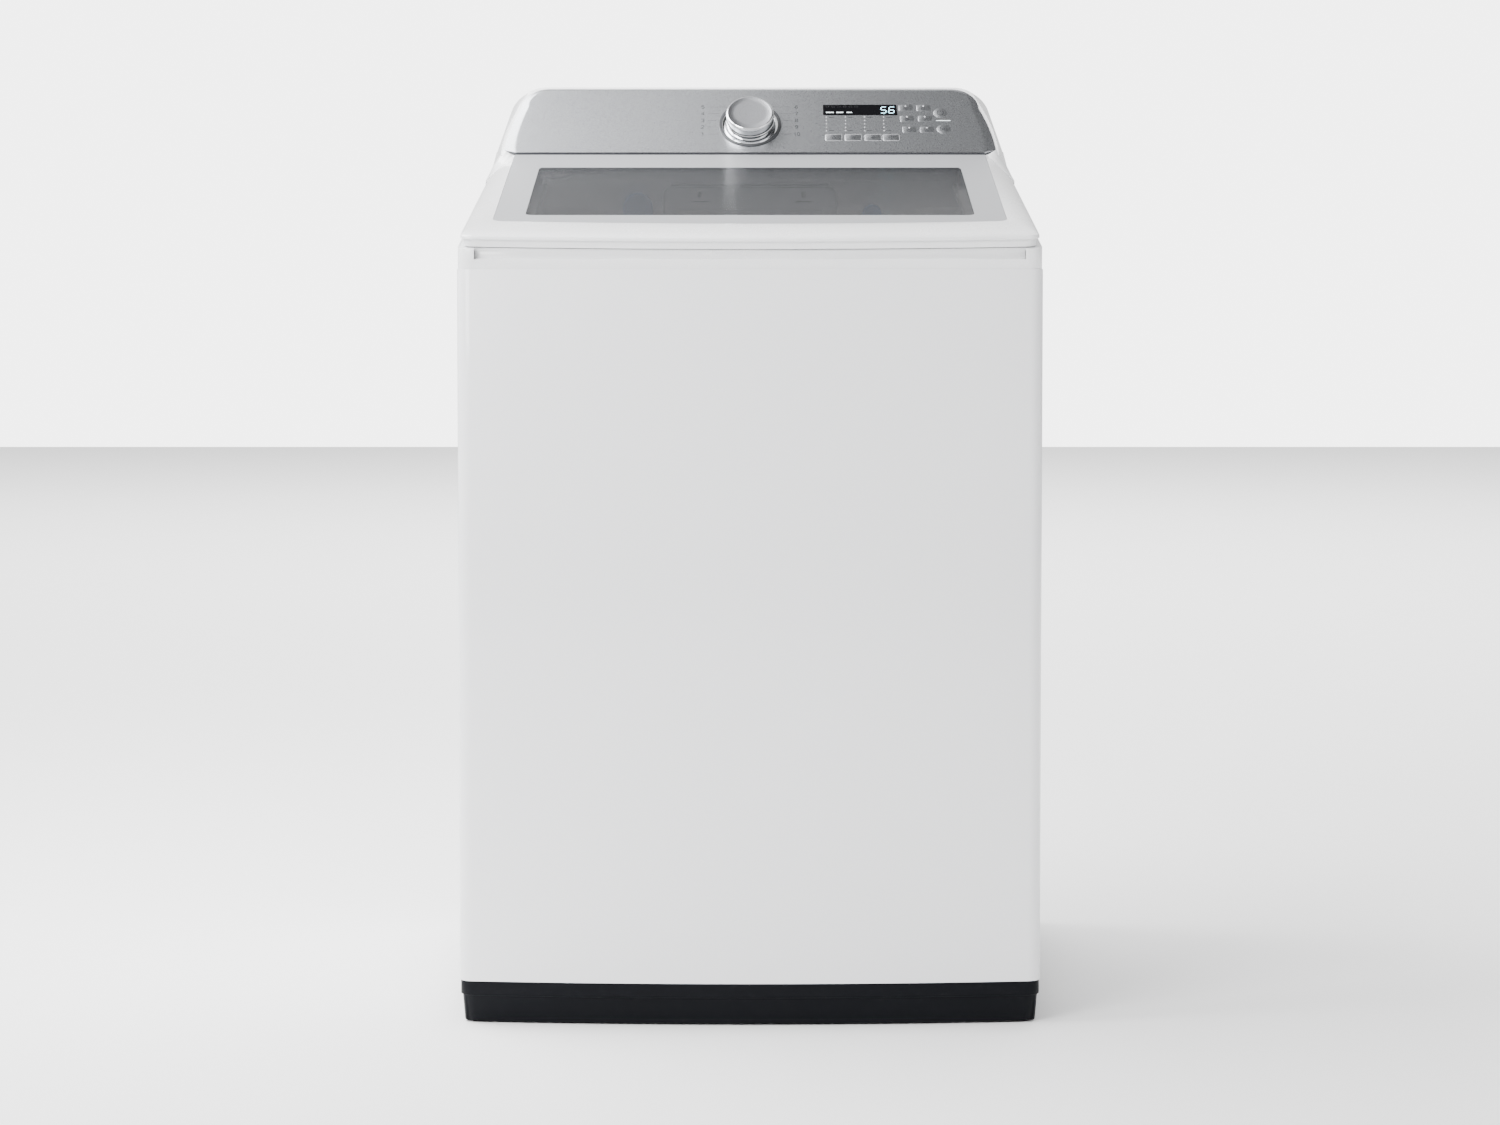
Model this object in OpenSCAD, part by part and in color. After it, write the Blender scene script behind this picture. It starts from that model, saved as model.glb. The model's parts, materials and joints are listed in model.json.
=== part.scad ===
/* [Body] */
// Width of the cabinet
machine_w = 686; // [682:1:690]
// Depth from the front panel to the back of the control housing
machine_d = 745; // [743:1:750]
// How far the middle of the front panel stands proud of its ends
front_bow = 20; // [16:1:24]
// Radius of the cabinet's upright front corners
corner_r = 18; // [14:1:22]
// Depth of the steel cabinet
cabinet_d = 715; // [712:1:716]
// Height of the seam between the cabinet and the top cover
seam_z = 888; // [886:1:889]
// Thickness of the cabinet's steel sheet
sheet_t = 2; // [1.5:0.1:2.2]

/* [Base] */
// Height of the dark base frame's top edge
base_h = 50; // [48:1:52]
// Gap between the base frame and the floor
base_gap = 2; // [1:0.5:4]
// How far each levelling foot screws down
foot_travel = 12; // [8:1:14]

/* [Lid] */
// Width of the lid
lid_w = 678; // [674:1:680]
// Depth of the lid's front edge
lid_front_d = 6; // [5:1:8]
// Slope of the top cover's deck under the lid
deck_angle = 9.1; // [8.8:0.1:9.3]
// Slope of the lid's glass
glass_angle = 11.8; // [11.5:0.1:12]
// Thickness of the lid's glass
glass_t = 4; // [3:0.5:5]
// Width of the lid's glass
glass_w = 612; // [604:1:616]
// Depth of the lid's hinge axis
hinge_d = 512; // [511:0.5:513]
// Height of the lid's hinge axis
hinge_z = 1012; // [1011:0.5:1013]

/* [Control panel] */
// Slope of the control panel
panel_angle = 46.5; // [46:0.5:47]
// Length of the control panel up its slope
panel_len = 124; // [122:1:125]
// Diameter of the knob
knob_dia = 63; // [58:1:68]
// Height of the knob above the panel
knob_h = 22; // [18:1:24]

/* [Tub] */
// Depth of the tub's centre
tub_d = 350; // [348:1:352]
// Outer radius of the outer tub
tub_r = 305; // [303:1:306]
// Outer radius of the stainless basket
basket_r = 279; // [275:1:281]
// Height of the outer tub's floor
tub_floor_z = 232; // [230:1:234]
// Radius of the wash shaft
wash_shaft_r = 10; // [9:0.5:11]
// Radius of the hollow spin shaft
spin_shaft_r = 17.5; // [17:0.5:18]

/* [Hidden] */
$fn = 96;
white = [0.93, 0.93, 0.94];
base_black = [0.1, 0.1, 0.11];
panel_grey = [0.6, 0.61, 0.63];
steel = [0.75, 0.76, 0.78];
dark_grey = [0.25, 0.26, 0.28];
tub_grey = [0.8, 0.81, 0.82];
zinc = [0.62, 0.64, 0.66];
jet_blue = [0.45, 0.62, 0.85, 0.7];
rubber_black = [0.08, 0.08, 0.08];
half_w = machine_w / 2;
bow_r = (half_w * half_w + front_bow * front_bow) / (2 * front_bow);
fit = 0.06;
cover_t = 3;
deck_z0 = 908.2;
lid_gap = 1.5;
lip_h = 9;
rim_z0 = deck_z0 + lid_gap + lip_h;
rim_t = 5;
glass_z0 = 923.9;
lid_side_end = 503;
glass_front = 85;
glass_rear = 538;
window_half_w = 269;
window_front = 136.5;
window_rear = 447;
mouth_half_w = 272;
mouth_front = 84;
wall_d = 552;
mouth_floor_z = 874;
trough_half_w = 312;
trough_front = 474;
trough_floor_z = 968;
ledge_z = 1003;
wall_foot_z = 940;
scoop_r = 10;
scoop_in = 3.5;
scoop_half_w = 322;
nozzle_at = [-146, 967.5];
nozzle_r = 19.5;
nozzle_neck_r = 12;
jet_button_at = [159, 959.5];
jet_button_r = 12.5;
jet_stem_r = 8;
hinge_pin_r = 4;
hinge_x = 285;
bracket_t = 12;
ear_t = 9;
foot_x = 290;
foot_ds = [70, 665];
stem_r = 6;
plate_z = 24;
plate_t = 8;
panel_foot_d = 541;
panel_foot_z = 1037;
panel_t = 3;
shoulder_z = 1040;
skirt_z = 945;
housing_rim = 3.5;
clear = 0.5;
crown_r = 13000;
crown_z = 1131;
top_corner_r = 42;
top_corner = [half_w - 61, crown_z - 45];
knob_up = 55;
knob_shaft_r = 3;
button_gap = 0.3;
button_deep = 6;
button_proud = 0.8;
rear_sheet_t = 1.5;
rear_face_d = cabinet_d - 2;
rod_reach = 265;
rod_r = 4;
ear_z = 322;
tub_ear_t = 12;
spring_foot_z = 241;
corner_plate_z = 846;
rotor_r = 118;
pump_at = [-180, 620];
spigot_r = 11.5;
spigot_len = 28;
pump_shaft_r = 3;
spigot_z = 90;
valve_at = [200, 800];
port_r = 13.2;
port_gap = 60;
gland_at = [60, 835];
bolt_r = 3.5;
lock_at = [203, 56, 892];
lock_point = [lock_at[0], lock_at[1] - machine_d / 2, lock_at[2]];
bumper_r = 5;
bumper_deep = 4;
low_z = 880;
high_z = 1100;
board_z = -14;
board_t = 1.6;

// Depth behind the front panel, turned into the frame's Y
function y_at(depth) = depth - machine_d / 2;

// Height of a sloping plane at a depth
function plane_z(z0, slope, depth) = z0 + depth * tan(slope);

// Everything below a plane that rises towards the back
module below_plane(z0, slope)
  translate([0, y_at(0), z0])
    rotate([slope, 0, 0])
      translate([-500, -200, -600])
        cube([1000, 1200, 600]);

// A slab of even height between two parallel sloping planes
module slab(z0, height, slope)
  difference() {
    below_plane(z0 + height, slope);
    below_plane(z0, slope);
  }

// Plan outline with a bowed front and rounded front corners
module plan(half, front, back, r) {
  radius = bow_r - front;
  bow_y = y_at(0) + bow_r;
  corner_x = half - r;
  corner_y = bow_y - sqrt(pow(radius - r, 2) - pow(corner_x, 2));
  touch_x = corner_x * radius / (radius - r);
  intersection() {
    translate([0, bow_y])
      circle(r = radius, $fn = 720);
    translate([-touch_x, y_at(0) - 1])
      square([2 * touch_x, back + 1]);
  }
  translate([-half, corner_y])
    square([2 * half, y_at(back) - corner_y]);
  for (side = [-1, 1])
    translate([side * corner_x, corner_y])
      circle(r = r);
}

// Rounded rectangle between two depths
module round_rect(half, front, back, r) {
  translate([-half + r, y_at(front)])
    square([2 * (half - r), back - front]);
  translate([-half, y_at(front) + r])
    square([2 * half, back - front - 2 * r]);
  for (x = [-half + r, half - r], y = [y_at(front) + r, y_at(back) - r])
    translate([x, y])
      circle(r = r);
}

// Upright prism of a plan outline
module upright(low, high)
  translate([0, 0, low])
    linear_extrude(high - low)
      children();

// A profile drawn as depth and height, drawn out across the width
module across(half)
  translate([-half, y_at(0), 0])
    rotate([90, 0, 90])
      linear_extrude(2 * half)
        children();

// A shape drawn as width and height, drawn out along the depth
module along(front, back)
  translate([0, y_at(back), 0])
    rotate([90, 0, 0])
      linear_extrude(back - front)
        children();

// Frame of the control panel: X across, Y up the slope, Z out of the face
module on_panel()
  translate([0, y_at(panel_foot_d), panel_foot_z])
    rotate([panel_angle, 0, 0])
      children();

// Frame of the tub's axis
module on_tub()
  translate([0, y_at(tub_d), 0])
    children();

// Ring round the vertical axis
module ring(inner, outer, low, high)
  rotate_extrude()
    translate([inner, low])
      square([outer - inner, high - low]);

// Copies at the four suspension rods
module at_rods()
  for (x = [-1, 1], y = [-1, 1])
    translate([x * rod_reach, y_at(tub_d) + y * rod_reach, 0])
      children();

module cabinet() {
  flange = 26;
  hem = 12;
  plate = 118;
  color(white)
    difference() {
      union() {
        difference() {
          upright(base_h, seam_z) plan(half_w, 0, cabinet_d, corner_r);
          upright(base_h - 1, seam_z + 1)
            plan(half_w - sheet_t, sheet_t, cabinet_d + 5, corner_r - sheet_t);
        }
        for (side = [-1, 1])
          translate([side * (half_w - flange / 2 - 0.5), y_at(rear_face_d - rear_sheet_t - 1), 0])
            translate([-flange / 2, -1, base_h])
              cube([flange, 2, seam_z - base_h]);
        difference() {
          upright(seam_z - sheet_t, seam_z)
            plan(half_w - 1, 1, rear_face_d - rear_sheet_t, corner_r - 1);
          upright(seam_z - sheet_t - 1, seam_z + 1)
            plan(half_w - hem, hem, cabinet_d + 5, corner_r - sheet_t);
        }
        intersection() {
          upright(corner_plate_z, corner_plate_z + 4)
            plan(half_w - 1, 1, rear_face_d - rear_sheet_t, corner_r - 1);
          for (x = [-half_w, half_w - plate], d = [0, cabinet_d - plate - 22])
            translate([x, y_at(d), corner_plate_z])
              cube([plate, plate + 22, 4]);
        }
      }
      at_rods()
        cylinder(r = rod_r + 2, h = seam_z);
      screw_places()
        cylinder(r = 2, h = 30, center = true);
    }
}

// Positions of the rear panel's screws, with Z pointing backwards
module screw_places()
  for (x = [-322, 322], z = [90, 245, 400, 555, 710, 865])
    translate([x, y_at(rear_face_d), z])
      rotate([-90, 0, 0])
        children();

module rear_panel() {
  half = half_w - 8;
  rib = 3;
  color(zinc)
    difference() {
      union() {
        translate([-half, y_at(rear_face_d - rear_sheet_t), base_h + 2])
          cube([2 * half, rear_sheet_t, seam_z - base_h - 4]);
        for (z = [200, 330, 460, 590])
          translate([-220, y_at(rear_face_d - rear_sheet_t), z])
            cube([440, rear_sheet_t + rib, 46]);
      }
      for (z = [200, 330, 460, 590])
        translate([-220 + rear_sheet_t, y_at(rear_face_d - rear_sheet_t) - 1, z + rear_sheet_t])
          cube([440 - 2 * rear_sheet_t, rib + 1, 46 - 2 * rear_sheet_t]);
      screw_places()
        cylinder(r = 2, h = 30, center = true);
      translate([pump_at[0], y_at(rear_face_d), spigot_z])
        rotate([90, 0, 0])
          cylinder(r = spigot_r + 4, h = 30, center = true);
      translate([valve_at[0] - 62, y_at(rear_face_d) - 20, valve_at[1] - 22])
        cube([124, 40, 44]);
      translate([gland_at[0], y_at(rear_face_d), gland_at[1]])
        rotate([90, 0, 0])
          cylinder(r = 9, h = 30, center = true);
    }
}

module base_frame() {
  wall = 6;
  band_z = 33;
  color(base_black)
    difference() {
      union() {
        difference() {
          union() {
            upright(band_z, base_h) plan(half_w - 1, 1, cabinet_d - 2, corner_r);
            upright(base_gap, band_z) plan(half_w - 3, 3, cabinet_d - 4, corner_r);
          }
          upright(base_gap - 1, base_h + 1)
            plan(half_w - 3 - wall, 3 + wall, cabinet_d - 4 - wall, corner_r - wall);
        }
        for (x = [-1, 1], d = foot_ds)
          translate([x * foot_x, y_at(d), plate_z])
            translate([-50, -70, 0])
              intersection() {
                cube([100, 120, plate_t]);
                translate([50 - x * foot_x, 70 - y_at(d), -1])
                  linear_extrude(plate_t + 2)
                    plan(half_w - 4, 4, cabinet_d - 6, corner_r);
              }
        for (d = [140, 600])
          translate([-half_w + 5, y_at(d), plate_z])
            cube([machine_w - 10, 40, base_h - plate_z]);
      }
      for (x = [-1, 1], d = foot_ds)
        translate([x * foot_x, y_at(d), 0])
          cylinder(r = stem_r + fit, h = base_h);
    }
}

// Levelling foot: threaded stem, hexagon and a round pad
module foot(x, d)
  translate([x, y_at(d), 0]) {
    color(rubber_black)
      cylinder(r = 20, h = 8);
    color(zinc) {
      translate([0, 0, 8])
        cylinder(r = 11, h = 7, $fn = 6);
      translate([0, 0, 8])
        cylinder(r = stem_r, h = 50);
    }
  }

module foot_front_left() foot(-foot_x, foot_ds[0]);
module foot_front_right() foot(foot_x, foot_ds[0]);
module foot_rear_left() foot(-foot_x, foot_ds[1]);
module foot_rear_right() foot(foot_x, foot_ds[1]);

module top_cover() {
  color(white) {
    difference() {
      union() {
        difference() {
          cover_envelope();
          intersection() {
            upright(seam_z - 1, 1100)
              plan(half_w - 1 - cover_t, 1 + cover_t, cabinet_d - cover_t, corner_r - cover_t);
            below_plane(deck_z0 - cover_t, deck_angle);
          }
        }
        intersection() {
          cover_envelope();
          scoop(scoop_r + cover_t);
        }
        intersection() {
          upright(mouth_floor_z, 1100)
            round_rect(mouth_half_w + cover_t, mouth_front - cover_t, wall_d + cover_t, 60);
          below_plane(deck_z0, deck_angle);
        }
        intersection() {
          upright(trough_floor_z - cover_t, 1100)
            round_rect(trough_half_w + cover_t, trough_front - cover_t, wall_d + cover_t, 6);
          below_plane(deck_z0, deck_angle);
        }
        translate([-mouth_half_w, y_at(wall_d), wall_foot_z])
          cube([2 * mouth_half_w, cover_t, ledge_z - wall_foot_z]);
      }
      upright(mouth_floor_z - 1, 1100)
        round_rect(mouth_half_w, mouth_front, wall_d, 60);
      upright(trough_floor_z, 1100)
        round_rect(trough_half_w, trough_front, wall_d, 4);
      scoop(scoop_r);
      translate([-200, y_at(wall_d + cover_t), 960])
        cube([400, 148, 200]);
      translate([-105.4, y_at(wall_d) - 1, 947.6])
        cube([210.8, 10, 53.8]);
      translate([nozzle_at[0], y_at(wall_d) + 1, nozzle_at[1]])
        rotate([90, 0, 0])
          cylinder(r = nozzle_neck_r, h = 20, center = true);
      translate([jet_button_at[0], y_at(wall_d) + 1, jet_button_at[1]])
        rotate([90, 0, 0])
          cylinder(r = jet_stem_r + fit, h = 20, center = true);
      translate([lock_at[0] - 5, y_at(lock_at[1]) - 24, 905])
        cube([10, 38, 30]);
    }
  }
}

// Outer form of the top cover under the plane of its deck
module cover_envelope()
  intersection() {
    upright(seam_z, 1100) plan(half_w - 1, 1, cabinet_d, corner_r);
    below_plane(deck_z0, deck_angle);
  }

// Finger groove that follows the bowed front edge
module scoop(r)
  intersection() {
    translate([0, y_at(0) + bow_r, deck_z0 + 1])
      rotate_extrude($fn = 720)
        translate([bow_r - scoop_in, 0])
          circle(r = r);
    translate([-scoop_half_w, y_at(-20), seam_z])
      cube([2 * scoop_half_w, 100, 50]);
  }

// Plan outline of the lid's rim, reaching inwards by a margin
module lid_plan(margin)
  plan(lid_w / 2 - margin, lid_front_d + margin, lid_side_end - margin, corner_r - 3);

// Plan outline of the glass
module glass_plan(margin, rear_margin)
  intersection() {
    translate([0, y_at(glass_front + margin) + bow_r])
      circle(r = bow_r, $fn = 720);
    round_rect(glass_w / 2 - margin, glass_front + margin, glass_rear - rear_margin, 14);
  }

// Solid form of the lid frame, from the rim up to the glass
module lid_form(margin, drop)
  hull() {
    intersection() {
      upright(low_z, high_z) lid_plan(margin, $fn = 32);
      slab(rim_z0 - (margin > 0 ? 1 : 0), rim_t, deck_angle);
    }
    intersection() {
      upright(low_z, high_z) glass_plan(margin, 4 * margin, $fn = 32);
      slab(glass_z0 - drop - 1, 1, glass_angle);
    }
  }

module lid_frame() {
  notch_w = 2 * ear_t + bracket_t + 8;
  border = 7;
  color(white)
    difference() {
      lid_form(0, 0);
      lid_form(cover_t, glass_t + cover_t);
      intersection() {
        upright(low_z, high_z) glass_plan(0, 0);
        slab(glass_z0 - glass_t, glass_t + 5, glass_angle);
      }
      upright(low_z, high_z)
        round_rect(window_half_w + border, window_front - border, window_rear + border, 12);
      for (x = [-hinge_x, hinge_x])
        translate([x - notch_w / 2, y_at(hinge_d) - 18, hinge_z - 40])
          cube([notch_w, 50, 53]);
    }
}

module lid_inner_frame() {
  inner_half_w = 262;
  inner_front = 112;
  ear_r = 9;
  ear_reach = 32;
  ear_drop = 22;
  ear_x = bracket_t / 2 + 3;
  color(white)
    difference() {
      union() {
        intersection() {
          difference() {
            upright(low_z, high_z) lid_plan(3.5);
            upright(low_z - 5, high_z + 5)
              round_rect(inner_half_w, inner_front, lid_side_end + 60, 40);
          }
          slab(deck_z0 + lid_gap, lip_h, deck_angle);
        }
        for (x = [-hinge_x, hinge_x], side = [-ear_x - ear_t, ear_x])
          translate([x + side, y_at(hinge_d), hinge_z]) {
            rotate([0, 90, 0])
              cylinder(r = ear_r, h = ear_t);
            translate([0, -ear_reach, -ear_drop])
              cube([ear_t, ear_reach, ear_drop]);
          }
      }
      for (x = [-hinge_x, hinge_x])
        translate([x, y_at(hinge_d), hinge_z])
          rotate([0, 90, 0])
            cylinder(r = hinge_pin_r, h = 60, center = true);
      bumper_places()
        cylinder(r = bumper_r, h = bumper_deep);
    }
}

// Lug under the lid that the lock bolt passes through
module lid_strike() {
  strike_w = 6;
  strike_l = 16;
  top_z = plane_z(deck_z0 + lid_gap, deck_angle, lock_at[1] - strike_l / 2) - lock_at[2];
  color(white)
    translate(lock_point)
      difference() {
        translate([-strike_w / 2, -strike_l / 2, -9])
          cube([strike_w, strike_l, top_z + 9 - 0.02]);
        rotate([0, 90, 0])
          cylinder(r = bolt_r + 1.5, h = 20, center = true);
      }
}

// Rubber bumpers' feet on the deck, with Z square to the deck
module bumper_places()
  for (x = [-300, 300], d = [60, 440])
    translate([x, y_at(d), plane_z(deck_z0 + lid_gap, deck_angle, d)])
      rotate([deck_angle, 0, 0])
        children();

module lid_bumpers() {
  proud = lid_gap * cos(deck_angle) - 0.06;
  color(rubber_black)
    bumper_places()
      translate([0, 0, -proud])
        cylinder(r = bumper_r, h = proud + bumper_deep);
}

module lid_glass()
  color([0.45, 0.47, 0.5])
    intersection() {
      upright(880, 1100) glass_plan(0, 0);
      slab(glass_z0 - glass_t, glass_t, glass_angle);
    }

module hinge_pins()
  color(steel)
    for (x = [-hinge_x, hinge_x])
      translate([x, y_at(hinge_d), hinge_z])
        rotate([0, 90, 0])
          cylinder(r = hinge_pin_r, h = bracket_t + 2 * ear_t + 6, center = true);

module hinge_brackets() {
  stem = 10;
  color(zinc)
    for (x = [-hinge_x, hinge_x])
      translate([x, y_at(hinge_d), 0])
        difference() {
          union() {
            translate([-bracket_t / 2, -stem / 2, trough_floor_z])
              cube([bracket_t, stem, hinge_z - trough_floor_z]);
            translate([0, 0, hinge_z])
              rotate([0, 90, 0])
                cylinder(r = 8, h = bracket_t, center = true);
            translate([-bracket_t / 2, -22, trough_floor_z])
              cube([bracket_t, 36, 4]);
          }
          translate([0, 0, hinge_z])
            rotate([0, 90, 0])
              cylinder(r = hinge_pin_r + fit, h = 60, center = true);
        }
}

module lid_lock() {
  slot = 14;
  color(base_black)
    translate(lock_point)
      difference() {
        translate([-slot / 2 - 5, -27, -14])
          cube([60, 44, 24]);
        translate([-slot / 2, -25, -10])
          cube([slot, 40, 40]);
        translate([20, 0, 0])
          rotate([0, 90, 0])
            cylinder(r = bolt_r + fit, h = 60, center = true);
        translate([30, -8, -8])
          cube([22, 16, 16]);
      }
}

// Lock bolt, at rest clear of the lid's strike
module lock_bolt()
  color(steel)
    translate(lock_point) {
      translate([8, 0, 0])
        rotate([0, 90, 0])
          cylinder(r = bolt_r, h = 34);
      translate([42, -6, -6])
        cube([6, 12, 12]);
    }

// Front outline of the control housing
module housing_outline(margin) {
  r = top_corner_r - margin;
  reach = half_w - margin;
  away = [reach - top_corner[0], shoulder_z - top_corner[1]];
  gap = norm(away);
  tangent = sqrt(gap * gap - r * r);
  lean = atan2(-away[1], -away[0]) - asin(r / gap);
  touch = [reach + tangent * cos(lean), shoulder_z + tangent * sin(lean)];
  side = [[reach, 940], [reach, shoulder_z], touch, top_corner];
  polygon(concat(side, [for (i = [3:-1:0]) [-side[i][0], side[i][1]]]));
  for (x = [-1, 1])
    translate([x * top_corner[0], top_corner[1]])
      circle(r = r);
  intersection() {
    translate([-top_corner[0], top_corner[1] - 10])
      square([2 * top_corner[0], 100]);
    translate([0, crown_z - margin - crown_r])
      circle(r = crown_r, $fn = 1440);
  }
}

// Side outline of the control housing, as depth and height
module housing_profile(margin) {
  rise = [cos(panel_angle), sin(panel_angle)];
  inward = [sin(panel_angle), -cos(panel_angle)];
  face = [panel_foot_d, panel_foot_z] + inward * (panel_t + 0.02 + margin);
  front = wall_d + cover_t + clear + margin;
  rear = cabinet_d + clear + margin;
  top = crown_z - margin;
  back = machine_d - margin;
  polygon([
    [front, plane_z(deck_z0, deck_angle, front) + clear],
    [front, ledge_z + 2],
    face + rise * 2,
    face + rise * (panel_len - 2),
    [machine_d - 108, top - 1],
    [machine_d - 100, top],
    [machine_d - 12, top],
    [back, crown_z - 12],
    [back, skirt_z + margin],
    [rear, skirt_z + margin],
    [rear, plane_z(deck_z0, deck_angle, cabinet_d) + clear - margin],
    [cabinet_d - 10, plane_z(deck_z0, deck_angle, cabinet_d - 10) + clear - margin]
  ]);
}

// Convex form of the control housing, from its back outline in to the panel's outline
module housing_form(margin) {
  slice = 0.5;
  back_slice = 20;
  foot_half = half_w - 17 - margin;
  hull() {
    along(machine_d - margin - back_slice, machine_d - margin)
      housing_outline(margin, $fn = 64);
    on_panel()
      translate([0, 0, -panel_t - margin])
        linear_extrude(slice)
          panel_outline(housing_rim - margin);
    translate([-foot_half, y_at(wall_d + cover_t), low_z])
      cube([2 * foot_half, slice, panel_foot_z - low_z - 1]);
  }
}

module control_housing() {
  board_room = 272;
  drawer_room = 205;
  color(white)
    difference() {
      intersection() {
        across(half_w) housing_profile(0);
        housing_form(0);
      }
      intersection() {
        across(half_w) housing_profile(cover_t);
        housing_form(cover_t + 1);
      }
      on_panel()
        translate([-board_room, 10, -30])
          cube([2 * board_room, panel_len - 22, 40]);
      translate([-drawer_room, y_at(wall_d), 980])
        cube([2 * drawer_room, 160, 22]);
    }
}

// Centres of the panel's controls, as across and up the slope
setting_places = [for (x = [109.5, 135, 161, 184.7]) [x, 30.75]];
option_places = [
  [204.5, 86], [228, 86],
  [206, 66], [229.5, 66],
  [208.5, 45.5], [231.5, 45.5]
];
power_place = [250, 77];
start_place = [253.5, 46.5];
setting_size = [22.5, 13];
option_size = [18, 12];
display_box = [96, 72.5, 97, 19.5];

// Half-width of the panel at a distance up its slope
function panel_lean(up) = half_w - 22 - 18.4 * pow(up / 83.3, 1.7);

// The same, with the upper corners rounded off
function panel_half(up) =
  let (r = 36, over = up - (panel_len - r), side = panel_lean(up))
    over <= 0 ? side
      : min(side, panel_lean(panel_len - r) - r + sqrt(max(r * r - over * over, 0)));

module panel_outline(grow) {
  steps = concat([for (i = [0:8]) i * 10.5], [for (a = [0:7.5:90]) panel_len - 36 + 36 * sin(a)]);
  right = [for (up = steps) [panel_half(up) + grow, up + grow * min(up / 60, 1)]];
  left = [for (i = [len(right) - 1:-1:0]) [-right[i][0], right[i][1]]];
  polygon(concat(right, left));
}

module control_panel()
  color(panel_grey)
    difference() {
      on_panel()
        translate([0, 0, -panel_t])
          linear_extrude(panel_t)
            panel_outline(0);
      on_panel() {
        translate([0, knob_up, 0])
          cylinder(r = 6, h = 20, center = true);
        translate([display_box[0], display_box[1], -10])
          cube([display_box[2], display_box[3], 20]);
        for (place = setting_places)
          button_hole(place, setting_size);
        for (place = option_places)
          button_hole(place, option_size);
        for (place = [power_place, start_place])
          translate([place[0], place[1], 0])
            cylinder(r = 9 + button_gap, h = 20, center = true);
      }
    }

module button_hole(place, size)
  translate([place[0], place[1], 0])
    cube([size[0] + 2 * button_gap, size[1] + 2 * button_gap, 20], center = true);

// Rectangular push button
module square_button(place, size)
  color(panel_grey)
    on_panel()
      translate([place[0] - size[0] / 2, place[1] - size[1] / 2, -button_deep])
        cube([size[0], size[1], button_deep + button_proud]);

// Round push button
module round_button(place)
  color(panel_grey)
    on_panel()
      translate([place[0], place[1], -button_deep])
        cylinder(r = 9, h = button_deep + button_proud);

module setting_button_1() square_button(setting_places[0], setting_size);
module setting_button_2() square_button(setting_places[1], setting_size);
module setting_button_3() square_button(setting_places[2], setting_size);
module setting_button_4() square_button(setting_places[3], setting_size);
module option_button_1() square_button(option_places[0], option_size);
module option_button_2() square_button(option_places[1], option_size);
module option_button_3() square_button(option_places[2], option_size);
module option_button_4() square_button(option_places[3], option_size);
module option_button_5() square_button(option_places[4], option_size);
module option_button_6() square_button(option_places[5], option_size);
module power_button() round_button(power_place);
module start_button() round_button(start_place);

module display_window()
  color("black")
    on_panel()
      translate([display_box[0], display_box[1], -panel_t])
        cube([display_box[2], display_box[3], panel_t + 0.3]);

// Circuit board on posts behind the panel, with the knob's encoder on it
module control_board() {
  left = -40;
  right = 272;
  low = 16;
  high = 106;
  post_r = 3;
  encoder_w = 26;
  color("darkgreen")
    on_panel()
      difference() {
        union() {
          translate([left, low, board_z])
            cube([right - left, high - low, board_t]);
          for (x = [left + 6, right - 6], up = [low + 6, high - 6])
            translate([x, up, board_z + board_t / 2])
              cylinder(r = post_r, h = -panel_t - board_z - board_t / 2 - 0.01);
          translate([-encoder_w / 2, knob_up - encoder_w / 2, board_z])
            cube([encoder_w, encoder_w, -panel_t - board_z]);
          translate([0, knob_up, board_z])
            cylinder(r = 5, h = -board_z);
        }
        translate([0, knob_up, board_z + board_t])
          cylinder(r = knob_shaft_r + fit, h = 30);
      }
}

module knob() {
  skirt = 2.5;
  color(steel)
    on_panel()
      translate([0, knob_up, 0]) {
        difference() {
          translate([0, 0, 1])
            cylinder(r = knob_dia / 2, h = knob_h - 1);
          translate([0, 0, 0])
            cylinder(r = knob_dia / 2 - skirt, h = knob_h - 3);
        }
        translate([0, 0, board_z + board_t + 0.6])
          cylinder(r = knob_shaft_r, h = knob_h - 2 - board_z - board_t - 0.6);
        translate([0, 0, 4])
          cylinder(r = 8, h = knob_h - 6);
      }
}

module knob_ring()
  color(dark_grey)
    on_panel()
      translate([0, knob_up, 0])
        ring(knob_dia / 2 + 5.5, knob_dia / 2 + 9.5, 0, 1.5);

module dispenser_housing()
  color(white)
    difference() {
      translate([-105, y_at(wall_d) + 0.3, 948])
        cube([210, 150, 53]);
      translate([-102, y_at(wall_d) - 1, 950])
        cube([204, 149, 48]);
    }

// Drawer with a face, a finger slot and two compartments
module dispenser_drawer() {
  tray_w = 200;
  tray_l = 138;
  tray_h = 27;
  color([0.88, 0.88, 0.9])
    difference() {
      union() {
        translate([0, y_at(wall_d) - 0.4, 0])
          rotate([90, 0, 0])
            linear_extrude(5)
              union() {
                translate([-114, 944])
                  square([228, 40]);
                translate([-102, 980])
                  square([204, 16]);
                for (x = [-102, 102])
                  translate([x, 984])
                    circle(r = 12);
              }
        translate([-tray_w / 2, y_at(wall_d) - 1, 951])
          cube([tray_w, tray_l, tray_h]);
      }
      translate([-tray_w / 2 + 2, y_at(wall_d) + 2, 953])
        cube([tray_w / 2 + 8, tray_l - 5, 40]);
      translate([12, y_at(wall_d) + 2, 953])
        cube([tray_w / 2 - 14, tray_l - 5, 40]);
      translate([-94, y_at(wall_d) - 10, 955])
        cube([188, 8, 9]);
    }
}

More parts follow.
